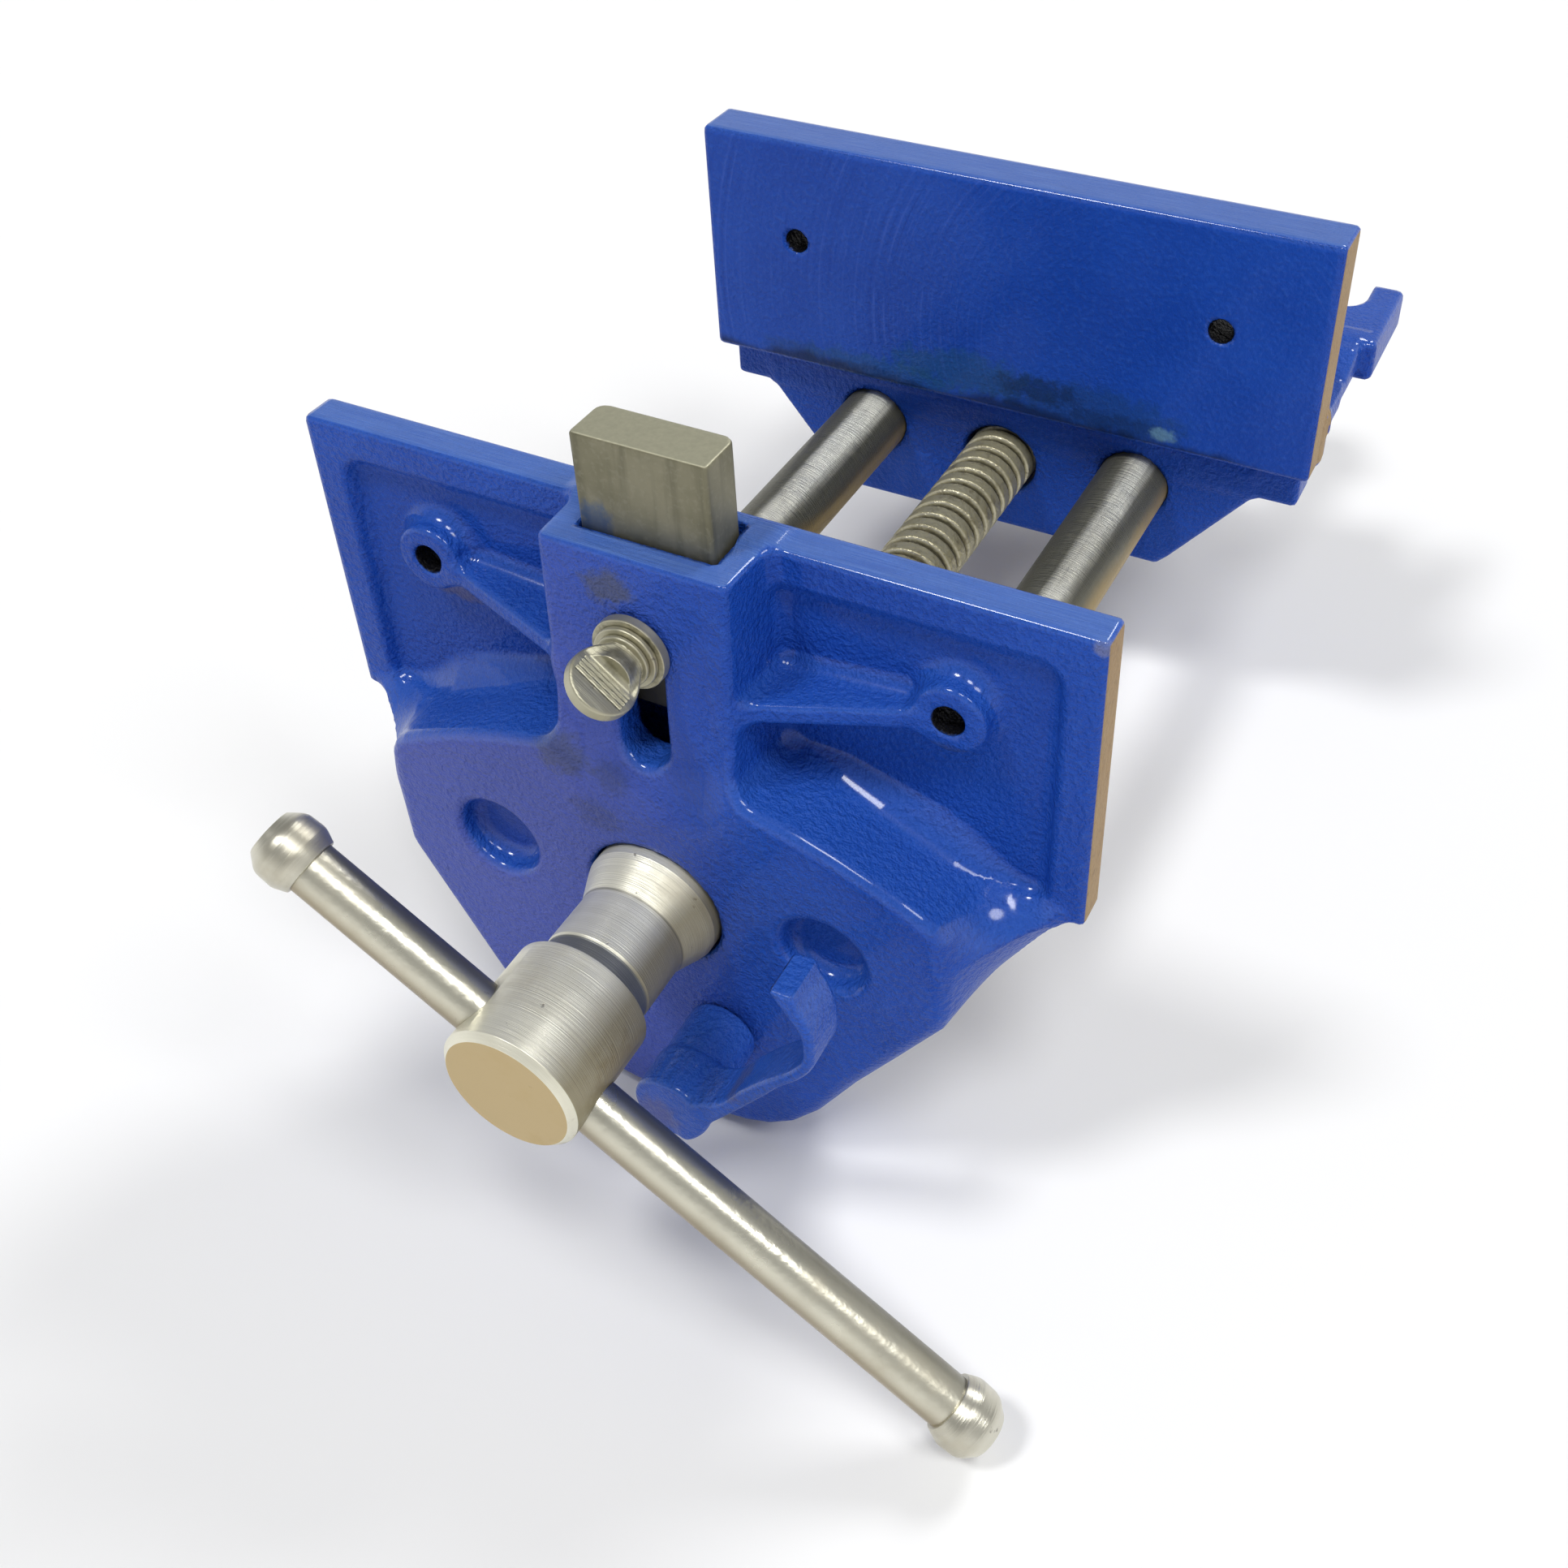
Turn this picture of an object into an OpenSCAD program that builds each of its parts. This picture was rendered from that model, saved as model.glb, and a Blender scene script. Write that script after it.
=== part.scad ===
// Quick release woodworking vise for mounting under the front edge of a bench.
// X runs along the jaws, Y from the operator to the bench and Z up. The origin lies on the top of
// the two mounting lugs, midway between the centres of their bolt slots.

/* [Jaws] */
// Width of both jaws
jaw_w = 178; // [170:1:190]
// Opening between the jaw faces as drawn
opening = 155.5; // [120:0.5:160]
// Largest opening the slide allows
max_opening = 203; // [195:1:203]
// Height of the jaw tops above the mounting lugs
jaw_rise = 50; // [46:1:54]
// Thickness of the front jaw's plate
front_plate_t = 9; // [8:0.5:11]
// Height of the front jaw's plate at its sides
front_plate_h = 73; // [71:0.5:74]
// Thickness of the rear jaw's plate
rear_plate_t = 14.5; // [13:0.5:16]
// Height of the rear jaw's plate
rear_plate_h = 67.5; // [66:0.5:68]
// Depth of the sunk panels in the front jaw's face
panel_depth = 3; // [2:0.5:4]
// Width of the rim round the panels
rim_w = 8.7; // [7:0.1:10]
// Spacing of the two lining screw holes in the front jaw
front_hole_pitch = 120; // [114:1:124]
// Drop of the front lining holes below the jaw top
front_hole_drop = 26.5; // [25:0.5:29]
// Spacing of the two lining screw holes in the rear jaw
rear_hole_pitch = 122; // [114:1:130]
// Drop of the rear lining holes below the jaw top
rear_hole_drop = 29; // [25:0.5:33]
// Diameter of the lining screw holes
lining_hole_d = 6.5; // [5:0.5:7]

/* [Front casting] */
// How far the thick belly stands in front of the plate
belly_depth = 20; // [18:0.5:22]
// Half width of the belly
belly_half_w = 67; // [64:0.5:69]
// Drop of the belly's lowest point below the jaw top
belly_drop = 157; // [152:1:160]
// How far the dog housing stands out at its top
box_depth = 14.5; // [14:0.5:17]
// Half width of the dog housing
box_half_w = 21; // [20:0.5:23]
// Extra depth that the housing's draft gives at its foot
box_draft = 2.2; // [1:0.1:3]
// Radius of the bosses round the lining screw holes
lining_boss_r = 7.8; // [7:0.1:9]
// How far the bosses stand in front of the rim
lining_boss_out = 3; // [2:0.5:4]
// Thickness of the ribs that tie the bosses to the housing
rib_t = 4.7; // [4:0.1:6]

/* [Screw] */
// Drop of the screw's axis below the jaw top
screw_drop = 87.5; // [86:0.5:89]
// Diameter over the thread
thread_d = 20; // [18:0.5:20]
// Travel of the jaw in one turn
thread_lead = 6; // [5:0.5:6]
// Depth of the thread
thread_depth = 2; // [1.5:0.1:2.2]
// Diameter of the screw's head
head_d = 31; // [30:0.5:32]
// Length of the head
head_l = 26.3; // [24:0.1:28]
// Diameter of the neck behind the head
neck_d = 25; // [24:0.5:26]
// Distance from the belly to the head
head_gap = 28.2; // [26:0.1:30]
// Diameter of the flange that bears on the belly
flange_d = 31.2; // [30.5:0.1:31.5]
// Diameter of the journal that turns in the front jaw
journal_d = 22; // [21:0.5:23]

/* [Tommy bar] */
// Diameter of the bar
tommy_d = 11.3; // [10:0.1:12]
// Length of the bar between its knobs
tommy_l = 165; // [150:0.5:180]
// Part of that length left of the screw as drawn
tommy_left = 57.2; // [50:0.1:70]
// Tilt of the bar as drawn, down to the right
tommy_tilt = 33.8; // [0:0.1:45]
// Distance of the bar from the head's end face
tommy_inset = 10.1; // [9:0.1:12]
// Diameter of the knobs
knob_d = 15.2; // [14:0.1:16]
// Length of each knob
knob_l = 10.6; // [9.5:0.1:14]

/* [Guide bars] */
// Diameter of the guide bars
bar_d = 20; // [18:0.5:20]
// Distance between the bars' axes
bar_pitch = 80.4; // [79:0.2:82]
// Drop of the bars' axes below the jaw top
bar_drop = 84.5; // [84:0.5:86]
// Depth of the bars' front ends below the belly's face
bar_sink = 6; // [4:0.5:8]
// Thickness of the plate that ties the bars' rear ends
tie_t = 10; // [8:0.5:12]

/* [Dog] */
// Width of the bench dog
dog_w = 29.5; // [28:0.5:30]
// Thickness of the dog
dog_t = 11.2; // [10:0.2:11.6]
// Height of the dog
dog_h = 62; // [58:0.5:63]
// How far the dog stands above the jaws as drawn
dog_up = 20.5; // [12:0.5:22]
// Travel of the dog down from there
dog_travel = 21; // [18:0.5:21]
// Drop of the thumb screw below the jaw top
thumb_drop = 20; // [19:0.5:21]
// Thread diameter of the thumb screw
thumb_d = 8; // [6:0.5:8]
// Diameter of the round grip of the thumb screw
grip_d = 14.4; // [13:0.2:15]

/* [Quick release] */
// Offset of the release rod to the right of the screw
rod_x = 16.5; // [16:0.5:17]
// Drop of the release rod below the jaw top
rod_drop = 122; // [121:0.5:123]
// Diameter of the rod
rod_d = 8; // [7:0.5:8]
// Angle the lever turns through
lever_turn = 22; // [15:1:22]
// Width of the lever's finger hook, front to back
hook_w = 11.3; // [10:0.1:13]
// Thickness of the hook
hook_t = 2.7; // [2.5:0.1:3.5]
// Radius of the lever's hub at the hook
hub_r = 8.6; // [8.4:0.1:9.6]

/* [Mounting] */
// Distance from the bench edge back to the bolt slots
slot_setback = 59.5; // [55:0.5:62]
// Spacing of the two bolt slots
slot_pitch = 154; // [152:1:156]
// Width of the bolt slots
slot_w = 13.6; // [11:0.2:14]
// Thickness of the lugs
lug_t = 7.5; // [7:0.5:9]

/* [Fits] */
// Radial clearance of shafts that turn or slide in bores
run_gap = 0.05; // [0.02:0.01:0.1]
// Gap between pieces that move past each other
move_gap = 0.3; // [0.2:0.05:0.4]
// Radial and axial clearance between screw thread and half nut
thread_gap = 0.35; // [0.3:0.01:0.4]

/* [Hidden] */
$fn = 48;
// Overrun of every cut past the face it opens
over = 1;

// Places along Y and Z that several pieces share
jaw_top = jaw_rise;
bench_y = -slot_setback;
rear_face_y = bench_y - rear_plate_t;
front_face_y = rear_face_y - opening;
rim_y = front_face_y - front_plate_t;
belly_y = rim_y - belly_depth;
screw_z = jaw_top - screw_drop;
bar_z = jaw_top - bar_drop;
bar_x = bar_pitch / 2;
rod_z = jaw_top - rod_drop;
thumb_z = jaw_top - thumb_drop;

// Outline of the belly's front face: shares of its half width and of its drop, right half
belly_front_shares = [[0.313, 0.312], [0.513, 0.335], [0.776, 0.375], [0.91, 0.402],
    [0.97, 0.42], [1, 0.446], [1, 0.608], [0.955, 0.65], [0.7, 0.828], [0.58, 0.885],
    [0.448, 0.943], [0.358, 0.972], [0.269, 0.99], [0.12, 1]];
// Outline of the casting behind the belly, as shares of the same two sizes, right half
belly_back_shares = [[0.328, 0.325], [0.776, 0.385], [1.045, 0.433], [1.25, 0.449],
    [1.25, 0.475], [1.2, 0.5], [1.075, 0.588], [0.735, 0.836], [0.6, 0.9], [0.47, 0.955],
    [0.37, 0.983], [0.275, 0.998], [0.12, 1.01]];
// The dog housing's face runs out into the belly over this range of drops
box_foot_drop = 45;
box_run_drop = 59.5;
box_foot_z = jaw_top - box_foot_drop;
// Fall of a rib from the housing's height to the boss
rib_fall = 2.9;
// Recess of the casting's lower back behind the clamping face
apron_setback = 4;
// Radius of the panels' inner corners
panel_corner_r = 4;
// Drop of the panels' lower edge, which the belly covers
panel_foot_drop = front_plate_h - rim_w / 2;

// Front jaw bearings for the screw
flange_bore_r = flange_d / 2 + 2 * move_gap;
flange_bore_depth = 12;
journal_r = journal_d / 2;
collar_r = 16;
collar_t = 8;
collar_pin_r = 2;
collar_pocket_r = collar_r + 2 * move_gap;
collar_pocket_depth = collar_t + 2 * move_gap;
collar_y = front_face_y - apron_setback - collar_pocket_depth + move_gap;
shank_step = 2;
shank_r = journal_r - shank_step;

// The screw
thread_r = thread_d / 2;
root_r = thread_r - thread_depth;
thread_sides = 20;
// Widths along the axis of one flank and of the crest, as shares of the lead
flank_share = 0.14;
crest_share = 0.42;
neck_r = neck_d / 2;
head_r = head_d / 2;
flange_r = flange_d / 2;
groove_l = 5.4;
groove_depth = 0.5;
groove_r = neck_r - groove_depth;
head_chamfer = 1.5;
cone_l = 7;
flange_out = 1.6;
head_back_y = belly_y - head_gap;
head_end_y = head_back_y - head_l;
tommy_y = head_end_y + tommy_inset;
flange_floor_y = belly_y + flange_bore_depth;

// Ends of the tommy bar, on which the knobs are pressed
knob_stub_r = 0.35 * tommy_d;
knob_stub_l = 7;
// The knob's radii at its joint face and near it, and where it is widest, as shares
knob_joint_share = 0.82;
knob_swell_share = 0.95;
knob_swell_at = 0.23;
knob_full_at = 0.46;
knob_flat_share = 0.6;

// The rear end that ties the two bars and carries the screw's tail
guide_l = 66;
apron_setback_rear = 5.5;
apron_y = rear_face_y + apron_setback_rear;
guide_end_y = apron_y + guide_l;
yoke_clearance = 3.4;
tie_y = guide_end_y + most_opening_travel() + yoke_clearance;
yoke_rim = 6;
bush_wall = 3;
tail_r = 6.5;
tail_washer_t = 2;
tail_washer_rim = 6;
split_pin_d = 3;
split_pin_y = tie_y + tie_t + tail_washer_t + 1.5 * split_pin_d;
tail_l = tie_t + tail_washer_t + 4 * split_pin_d;
spigot_r = 6;
spigot_tail = 2;
washer_t = 2;
washer_r = 11;
nut_t = 10;
nut_corner_r = 11;
thread_inset = 15;
plain_tail_l = 8;
thread_start_y = front_face_y + thread_inset;
thread_end_y = tie_y - plain_tail_l;

// The half nut and what turns it
nut_l = 30;
nut_setback = 20;
nut_y = apron_y + nut_setback;
nut_half_w = 10.5;
nut_foot_drop = 19.5;
nut_foot_z = screw_z - nut_foot_drop;
nut_grip_drop = 6;
nut_end_gap = 2;
foot_w = 6;
foot_inset = 3;
pivot_x = -24;
pivot_drop = 12.5;
pivot_z = screw_z - pivot_drop;
pivot_r = 3;
pin_tail = 3;
clip_rim = 2;
clip_t = 1;
eye_r = 7;
eye_relief = 0.5;
chamber_wall_t = 6;
chamber_x = 24;
back_wall_y = nut_y + nut_l + nut_end_gap;
pin_back_y = back_wall_y + chamber_wall_t;
finger_l = 13.5;
finger_w = 6;
finger_rise = 3.7;
finger_chamfer = 1.5;
sleeve_r = 7;
sleeve_l = 13.4;
ear_t = 5;
ear_r = 8;
ear_setback = 11;
sleeve_y = nut_y + ear_setback;
// Flat of the rod that keys the finger to it
rod_flat = 1;

// The dog, its socket and its thumb screw
dog_gap = 0.5;
dog_corner_r = 1.5;
dog_sink = 8;
dog_y = rim_y - dog_sink;
socket_drop = 69;
slot_half_w = 5.5;
slot_l = 24.5;
// The washer rests on the lowest point of the housing's drafted face that it reaches
dog_washer_r = 8.1;
dog_washer_t = 2.2;
washer_back_y = rim_y - box_depth - run_gap
    - box_draft * (thumb_drop + dog_washer_r) / box_foot_drop;
lock_ring_r = 6.9;
lock_ring_t = 1.2;
shoulder_r = 5.8;
shoulder_t = 1;
shoulder_y = washer_back_y - dog_washer_t - lock_ring_t - 3 * run_gap;
grip_neck_r = 4.4;
grip_neck_l = 3.2;
grip_sink = 0.4;
grip_t = 3;
grip_tilt = 40;
thumb_tip_gap = 1;

// The release lever
hub_back_r = 8.2;
// The cast hub stands this far off the axis of the rod in it
hub_shift = [-1.8, 0, 0.4];
hub_back_l = 12.7;
hub_face_y = belly_y - move_gap - hub_back_l - hook_w;
rod_sink = 2;
// Where the hook's straight arm ends, from the rod's axis, and its length back to the hub
hook_start = [31.3, 30.2];
hook_arm_l = 42;
hook_root = [0.2 * hub_r, 0.8 * hub_r];
hook_arc_r = 15;
hook_from_angle = 51.5;
hook_to_angle = 111;
// The tip goes on straight from the arc and grows thicker up to its flat end
hook_tip_l = 9.6;
hook_tip_w = 4.9;
hook_steps = 14;
roll_pin_r = 1.5;
spring_wire_r = 0.8;
spring_r = 6.2;
spring_curls = 5;
spring_pitch = 2.3;
spring_l = spring_curls * spring_pitch + 2 * spring_wire_r;
spring_y = front_face_y - apron_setback + move_gap;
collar_w = 6;
grub_r = 2;

// The rear casting
lug_half_w = 92.7;
lug_in_x = 58;
lug_front_y = -26;
lug_back_y = 9.5;
// The lug's front part is thicker than its tip by this much, over this length
lug_boss_drop = 4.5;
lug_boss_l = 17;
arm_t = 7.5;
// Profile of a lug's arm: its top falls from the lug to this depth at the jaw plate
arm_fall = 3.7;
arm_fall_l = 4;
arm_flat_l = 12;
arm_root_l = 3.5;
arm_flare_l = 8;
deck_t = 8;
tube_r = 14.5;
apron_t = 12.5;
pin_front_y = apron_y + apron_t / 2;
strip_half_w = 86;
strip_drop = 79.7;
apron_drop = 109.6;
apron_shoulder_x = 74;
apron_foot_x = 49;
apron_chamfer = 3;
plate_round_r = 2;

function most_opening_travel() = max_opening - opening;

module mirrored() { children(); mirror([1, 0, 0]) children(); }

// A cylinder along +Y that starts at y
module rod_along(r, y, l) { translate([0, y, 0]) rotate([-90, 0, 0]) cylinder(r = r, h = l); }

// Extrudes an outline drawn in X and Z from y towards +Y
module slab(y, l) { translate([0, y + l, 0]) rotate([90, 0, 0]) linear_extrude(l) children(); }

function belly_outline(shares) = [for (side = [1, -1]) for (k = [0 : len(shares) - 1])
    let (p = shares[side > 0 ? k : len(shares) - 1 - k])
    [side * p[0] * belly_half_w, jaw_top - p[1] * belly_drop]];

// One panel's outline, from the dog housing to the rim, with round corners
module panel_outline() {
    x0 = box_half_w - over;
    x1 = jaw_w / 2 - rim_w;
    z1 = jaw_top - rim_w;
    z0 = jaw_top - panel_foot_drop;
    union() {
        translate([x0, z0]) square([x1 - x0 - panel_corner_r, z1 - z0]);
        translate([x0, z0 + panel_corner_r]) square([x1 - x0, z1 - z0 - 2 * panel_corner_r]);
        for (z = [z0 + panel_corner_r, z1 - panel_corner_r])
            translate([x1 - panel_corner_r, z]) circle(r = panel_corner_r);
    }
}

// The dog housing's side view is a drafted block whose foot runs out into the belly
module dog_housing() {
    run_z = jaw_top - box_run_drop;
    translate([-box_half_w, 0, 0]) rotate([90, 0, 90]) linear_extrude(2 * box_half_w)
        polygon([[rim_y + panel_depth, jaw_top], [rim_y - box_depth, jaw_top],
            [rim_y - box_depth - box_draft, box_foot_z], [belly_y, run_z],
            [belly_y, run_z - belly_depth], [rim_y + panel_depth, run_z - belly_depth]]);
}

// What has to go from the belly so that the housing's face runs down into it
module housing_run_out() {
    translate([-box_half_w, 0, 0]) rotate([90, 0, 90]) linear_extrude(2 * box_half_w)
        polygon([[rim_y - box_depth, jaw_top], [rim_y - box_depth - box_draft, box_foot_z],
            [belly_y, jaw_top - box_run_drop], [belly_y - over, jaw_top - box_run_drop],
            [belly_y - over, jaw_top]]);
}

// A rib from the dog housing out to a lining boss, seen from above a tapering web
module lining_rib() {
    x1 = front_hole_pitch / 2;
    z1 = jaw_top - front_hole_drop - rib_t / 2;
    translate([x1, 0, z1]) rotate([0, -atan(rib_fall / (x1 - box_half_w)), 0])
        translate([-x1, 0, -rib_t / 2]) linear_extrude(rib_t)
            polygon([[box_half_w - over, rim_y + panel_depth + over],
                [box_half_w - over, rim_y - box_depth],
                [x1 - lining_boss_r / 2, rim_y - lining_boss_out],
                [x1 - lining_boss_r / 2, rim_y + panel_depth + over]]);
}

module front_jaw() {
    lower = jaw_top - front_plate_h;
    color("royalblue") difference() {
        union() {
            difference() {
                slab(rim_y, front_plate_t)
                    translate([-jaw_w / 2, lower]) square([jaw_w, front_plate_h]);
                mirrored() slab(rim_y - over, panel_depth + over) panel_outline();
            }
            // The thick belly narrows from the plate to its front face
            hull() {
                slab(belly_y, run_gap) polygon(belly_outline(belly_front_shares));
                slab(rim_y, front_plate_t - apron_setback)
                    polygon(belly_outline(belly_back_shares));
            }
            dog_housing();
            mirrored() {
                lining_rib();
                translate([front_hole_pitch / 2, 0, jaw_top - front_hole_drop])
                    rod_along(lining_boss_r, rim_y - lining_boss_out,
                        lining_boss_out + panel_depth + over);
            }
        }
        housing_run_out();
        mirrored() {
            translate([front_hole_pitch / 2, 0, jaw_top - front_hole_drop])
                rod_along(lining_hole_d / 2, rim_y - lining_boss_out - over,
                    lining_boss_out + front_plate_t + 2 * over);
            translate([bar_x, 0, bar_z])
                rod_along(bar_d / 2, belly_y - over, belly_depth + front_plate_t + 2 * over);
        }
        // Stepped bore for the screw's flange, its journal and the collar behind
        translate([0, 0, screw_z]) {
            rod_along(flange_bore_r, belly_y - over, flange_bore_depth + over);
            rod_along(journal_r + run_gap, belly_y, belly_depth + front_plate_t + over);
            rod_along(collar_pocket_r, front_face_y - apron_setback - collar_pocket_depth,
                collar_pocket_depth + apron_setback + over);
        }
        translate([rod_x, 0, rod_z])
            rod_along(rod_d / 2 + run_gap, belly_y - over, belly_depth + front_plate_t + over);
        // Socket for the dog and the slot its thumb screw travels in
        translate([-dog_w / 2 - dog_gap, dog_y - dog_gap, jaw_top - socket_drop])
            cube([dog_w + 2 * dog_gap, dog_t + 2 * dog_gap, socket_drop + over]);
        translate([0, dog_y, 0]) for (z = [thumb_z, thumb_z - slot_l])
            translate([0, 0, z]) rod_along(slot_half_w, -belly_depth, belly_depth);
        translate([-slot_half_w, dog_y - belly_depth, thumb_z - slot_l])
            cube([2 * slot_half_w, belly_depth, slot_l]);
    }
}

module guide_bar() {
    color("silver") translate([bar_x, 0, bar_z]) {
        rod_along(bar_d / 2, belly_y + bar_sink, tie_y - belly_y - bar_sink);
        rod_along(spigot_r, tie_y - over, tie_t + washer_t + nut_t + spigot_tail + over);
    }
}

module guide_bar_left() { mirror([1, 0, 0]) guide_bar(); }
module guide_bar_right() { guide_bar(); }

// Cast yoke that ties the bars' rear ends and carries the screw's tail and the release rod
module tie_plate() {
    end_r = bar_d / 2 + yoke_rim;
    color("royalblue") difference() {
        union() {
            mirrored() translate([bar_x, 0, bar_z]) rod_along(end_r, tie_y, tie_t);
            slab(tie_y, tie_t) translate([-bar_x, bar_z - end_r]) square([bar_pitch, 2 * end_r]);
            slab(tie_y, tie_t) translate([rod_x - end_r / 2, rod_z])
                square([end_r, bar_z - rod_z]);
            translate([rod_x, 0, rod_z]) rod_along(end_r / 2, tie_y, tie_t);
        }
        mirrored() translate([bar_x, 0, bar_z])
            rod_along(spigot_r + run_gap, tie_y - over, tie_t + 2 * over);
        translate([0, 0, screw_z]) rod_along(tail_r + bush_wall, tie_y - over, tie_t + 2 * over);
        translate([rod_x, 0, rod_z])
            rod_along(rod_d / 2 + run_gap, tie_y - over, tie_t + 2 * over);
    }
}

module tie_washers() {
    color("gainsboro") mirrored() translate([bar_x, 0, bar_z]) difference() {
        rod_along(washer_r, tie_y + tie_t, washer_t);
        rod_along(spigot_r + run_gap, tie_y, tie_t + washer_t + over);
    }
}

module tie_nuts() {
    color("gainsboro") mirrored() translate([bar_x, 0, bar_z]) difference() {
        translate([0, tie_y + tie_t + washer_t, 0]) rotate([-90, 0, 0])
            cylinder(r = nut_corner_r, h = nut_t, $fn = 6);
        rod_along(spigot_r, tie_y, tie_t + washer_t + nut_t + over);
    }
}

module screw_bush() {
    color("peru") translate([0, 0, screw_z]) difference() {
        rod_along(tail_r + bush_wall, tie_y, tie_t);
        rod_along(tail_r + run_gap, tie_y - over, tie_t + 2 * over);
    }
}

// Point of the thread at step i round and corner j of the profile: a quarter of the corners each
// start the flank, start the crest, end the crest and end the flank
function thread_corner(i, j, y, low_r, high_r, widen, fade) =
    let (a = 360 * i / thread_sides,
        flank = flank_share * thread_lead,
        offset = [-widen, flank - widen, flank + crest_share * thread_lead + widen,
            2 * flank + crest_share * thread_lead + widen][j],
        r = (j == 1 || j == 2) ? low_r + fade * (high_r - low_r) : low_r)
    [r * sin(a), y + thread_lead * i / thread_sides + offset, r * cos(a)];

// A threaded rod as one closed surface that follows the helix, with a flat ring at each end.
// widen grows the crests along the axis, and the crest fades out over half a turn at each end.
module thread_rod(y0, y1, y_phase, low_r, high_r, widen) {
    n = thread_sides;
    first = ceil((y0 - y_phase) / thread_lead * n);
    last = floor((y1 - y_phase) / thread_lead * n) - n;
    rows = last - first;
    function fade(i) = min(1, 2 * i / n, 2 * (rows - i) / n);
    corners = [for (i = [0 : rows]) for (j = [0 : 3])
        thread_corner(first + i, j, y_phase, low_r, high_r, widen, fade(i))];
    s0 = len(corners);
    ring_start = [for (k = [0 : n - 1]) let (a = 360 * (first + k) / n)
        [low_r * sin(a), y0 - widen, low_r * cos(a)]];
    ring_end = [for (k = [0 : n - 1]) let (a = 360 * (first + rows + k) / n)
        [low_r * sin(a), y1 + widen, low_r * cos(a)]];
    e0 = s0 + n;
    function v(i, j) = 4 * i + j;
    sides = [for (i = [0 : rows - 1]) for (j = [0 : 2])
        each [[v(i, j), v(i, j + 1), v(i + 1, j + 1)], [v(i, j), v(i + 1, j + 1), v(i + 1, j)]]];
    roots = [for (i = [0 : rows - n - 1])
        each [[v(i, 3), v(i + n, 0), v(i + 1 + n, 0)], [v(i, 3), v(i + 1 + n, 0), v(i + 1, 3)]]];
    foot = [for (k = [0 : n - 2])
        each [[s0 + k, v(k, 0), v(k + 1, 0)], [s0 + k, v(k + 1, 0), s0 + k + 1]]];
    foot_edge = [s0, v(0, 0), v(0, 1), v(0, 2), v(0, 3), v(n, 0)];
    foot_last = [[s0 + n - 1, v(n - 1, 0), s0],
        for (k = [0 : 4]) [v(n - 1, 0), foot_edge[k + 1], foot_edge[k]]];
    top_edge = [v(rows - n, 3), v(rows, 0), v(rows, 1), v(rows, 2), v(rows, 3), e0];
    top_first = [for (k = [0 : 4]) [v(rows - n + 1, 3), top_edge[k], top_edge[k + 1]],
        [v(rows - n + 1, 3), e0, e0 + 1]];
    top = [for (k = [1 : n - 1]) let (e1 = e0 + (k + 1) % n)
        each [[v(rows - n + k, 3), e0 + k, e1],
            [v(rows - n + k, 3), e1, v(rows - n + k + 1, 3)]]];
    caps = [[for (k = [0 : n - 1]) s0 + k], [for (k = [n - 1 : -1 : 0]) e0 + k]];
    polyhedron(concat(corners, ring_start, ring_end),
        concat(sides, roots, foot, foot_last, top_first, top, caps), convexity = 10);
}

module lead_screw() {
    color("silver") translate([0, 0, screw_z]) difference() {
        union() {
            // Head, groove, neck, cone, flange, journal and shank, turned in one piece
            rotate([-90, 0, 0]) rotate_extrude() polygon([[0, head_end_y],
                [head_r - head_chamfer, head_end_y], [head_r, head_end_y + head_chamfer],
                [head_r, head_back_y], [groove_r, head_back_y], [groove_r, head_back_y + groove_l],
                [neck_r, head_back_y + groove_l], [neck_r, belly_y - flange_out - cone_l],
                [flange_r, belly_y - flange_out], [flange_r, flange_floor_y - move_gap],
                [journal_r, flange_floor_y - move_gap],
                [journal_r, collar_y], [shank_r, collar_y], [shank_r, thread_start_y + over],
                [0, thread_start_y + over]]);
            thread_rod(thread_start_y, thread_end_y, nut_y, root_r, thread_r, 0);
            rod_along(tail_r, thread_end_y - over, tie_y + tail_l - thread_end_y + over);
        }
        translate([0, tommy_y, 0]) rotate([0, tommy_tilt, 0]) rotate([0, 90, 0])
            cylinder(r = tommy_d / 2 + move_gap, h = 2 * head_d, center = true);
        collar_pin_hole();
        translate([0, split_pin_y, 0])
            cylinder(d = split_pin_d, h = 4 * tail_r, center = true);
    }
}

module collar_pin_hole() {
    translate([0, collar_y + collar_t / 2, 0])
        cylinder(r = collar_pin_r, h = 4 * collar_r, center = true);
}

module thrust_collar() {
    color("dimgray") translate([0, 0, screw_z]) difference() {
        rod_along(collar_r, collar_y, collar_t);
        rod_along(shank_r, collar_y - over, collar_t + 2 * over);
        collar_pin_hole();
    }
}

module collar_pin() {
    color("dimgray") translate([0, collar_y + collar_t / 2, screw_z])
        cylinder(r = collar_pin_r, h = 2 * collar_r - move_gap, center = true);
}

module end_washer() {
    color("gainsboro") translate([0, 0, screw_z]) difference() {
        rod_along(tail_r + tail_washer_rim, tie_y + tie_t + move_gap, tail_washer_t - move_gap);
        rod_along(tail_r, tie_y, tie_t + tail_washer_t + over);
    }
}

module split_pin() {
    color("gainsboro") translate([0, split_pin_y, screw_z]) {
        cylinder(d = split_pin_d, h = 2 * tail_r + 2 * split_pin_d, center = true);
        translate([0, 0, tail_r + 2 * split_pin_d]) rotate([0, 90, 0]) rotate_extrude()
            translate([split_pin_d, 0]) circle(d = split_pin_d);
    }
}

// Everything on the tommy bar is drawn along X from the screw's axis and then tilted
module on_tommy() {
    translate([0, tommy_y, screw_z]) rotate([0, tommy_tilt, 0]) rotate([0, 90, 0]) children();
}

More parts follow.
